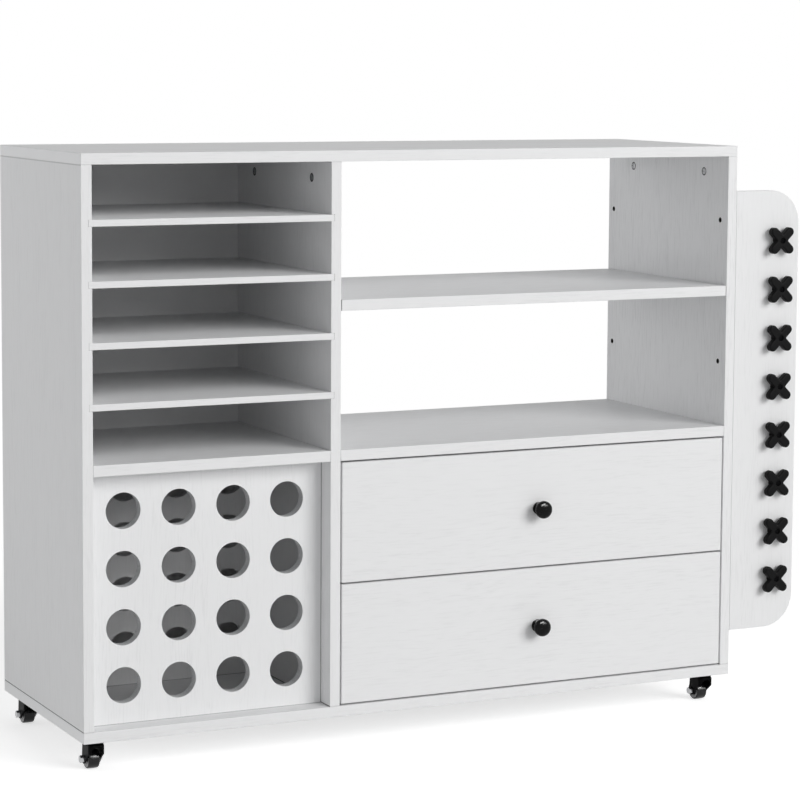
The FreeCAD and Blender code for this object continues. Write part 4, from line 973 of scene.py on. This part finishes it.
def lean_back(points):
    """Moves points to the rear: not at all at the crown, and by the whole lean at the axle's level."""
    share = np.clip((FORK_TOP - points[..., 2]) / (FORK_TOP - AXLE_Z), 0.0, 1.0)
    moved = points.copy()
    moved[..., 1] += share * (cheek_reach(points[..., 1]) - points[..., 1])
    return moved


def fork_skin():
    """The outer face down to the lower edge, then the inner face back up."""
    return np.concatenate([fork_wall(0.0), fork_wall(FORK_SHEET)[::-1]])


print("rings of one fork:", len(fork_skin()))

# %% Forks and ball races
RACE_RADIUS = 15.0
RACE_HEIGHT = 2.2


def race_outline():
    """Radius and height of the round ball race that is riveted on the crown."""
    top = FORK_TOP + RACE_HEIGHT
    return np.concatenate([[[KINGPIN_HOLE, FORK_TOP], [RACE_RADIUS - 0.3, FORK_TOP]],
                           arc((RACE_RADIUS - 0.7, FORK_TOP + 0.7), 0.7, -40, 60, 6),
                           arc((RACE_RADIUS - 1.9, top - 0.8), 0.8, 30, 90, 5),
                           [[RACE_RADIUS - 4.0, top], [KINGPIN_HOLE, top]]])


for corner in CASTERS:
    axle = box_middle("caster_" + corner + "_wheel")
    kingpin = np.array((axle[0], axle[1] - AXLE_Y * MM, 0.0))
    grids = [fork_skin() * MM + kingpin, lathe(race_outline() * MM, kingpin, (0.0, 0.0, 1.0))]
    skin("fork_" + corner, grids, caster_black, "caster_" + corner,
         "caster_" + corner + "_fork")

# %% [markdown]
# ## Caster wheels
# A wheel is another body of revolution: a slightly crowned tread, rounded edges, a grey ring set into
# each side and a raised boss round the axle. The outline goes once round the wheel's cross-section
# and ends in the bore, so it closes on itself. The ring could be a piece of its own, but it only needs
# another finish, so its faces are found by their distance from the axle and painted grey.

# %% Wheel shape
WHEEL_RADIUS = 13.5
WHEEL_HALF = 8.0
WHEEL_EDGE = 1.8
RING_OUTER = 11.3
RING_MIDDLE = 7.6
RING_INNER = 4.6
RING_DEPTH = 0.8
WHEEL_BORE = 2.56
RING_FROM_MIDDLE = 6.0


def wheel_half_outline():
    """Radius and distance from the wheel's middle, from the tread's middle to the bore."""
    return np.concatenate([
        [[WHEEL_RADIUS, 0.0], [WHEEL_RADIUS - 0.04, 2.4], [WHEEL_RADIUS - 0.12, 4.6]],
        arc((WHEEL_RADIUS - 0.2 - WHEEL_EDGE, WHEEL_HALF - WHEEL_EDGE), WHEEL_EDGE, 4, 90, 9),
        [[RING_OUTER + 0.15, WHEEL_HALF], [RING_OUTER, WHEEL_HALF - 0.1],
         [RING_OUTER - 0.1, WHEEL_HALF - 0.35], [RING_MIDDLE, WHEEL_HALF - RING_DEPTH],
         [RING_INNER + 0.3, WHEEL_HALF - RING_DEPTH],
         [RING_INNER, WHEEL_HALF - 0.2], [RING_INNER - 0.2, WHEEL_HALF], [WHEEL_BORE, WHEEL_HALF]]])


def wheel_outline():
    """The half outline and its mirror image, closed through the bore."""
    half = wheel_half_outline()
    mirrored = half[:0:-1] * np.array((1.0, -1.0))
    return np.concatenate([half, mirrored]) * MM


for corner in CASTERS:
    node = "caster_" + corner + "_wheel"
    wheel = skin("wheel_" + corner, [lathe(wheel_outline(), box_middle(node), (1.0, 0.0, 0.0))],
                 wheel_black, "wheel_" + corner, node, sharp=40.0)
    wheel.data.materials.append(hub_grey)
    centres = np.zeros(len(wheel.data.polygons) * 3)
    wheel.data.polygons.foreach_get("center", centres)
    off = centres.reshape(-1, 3) - box_middle(node)
    from_axle = np.hypot(off[:, 1], off[:, 2]) / MM
    far_out = np.abs(off[:, 0]) > RING_FROM_MIDDLE * MM
    in_ring = (from_axle > RING_MIDDLE) & (from_axle < RING_OUTER) & far_out
    wheel.data.polygons.foreach_set("material_index", in_ring.astype(np.int32))
    print("grey faces:", int(in_ring.sum()))
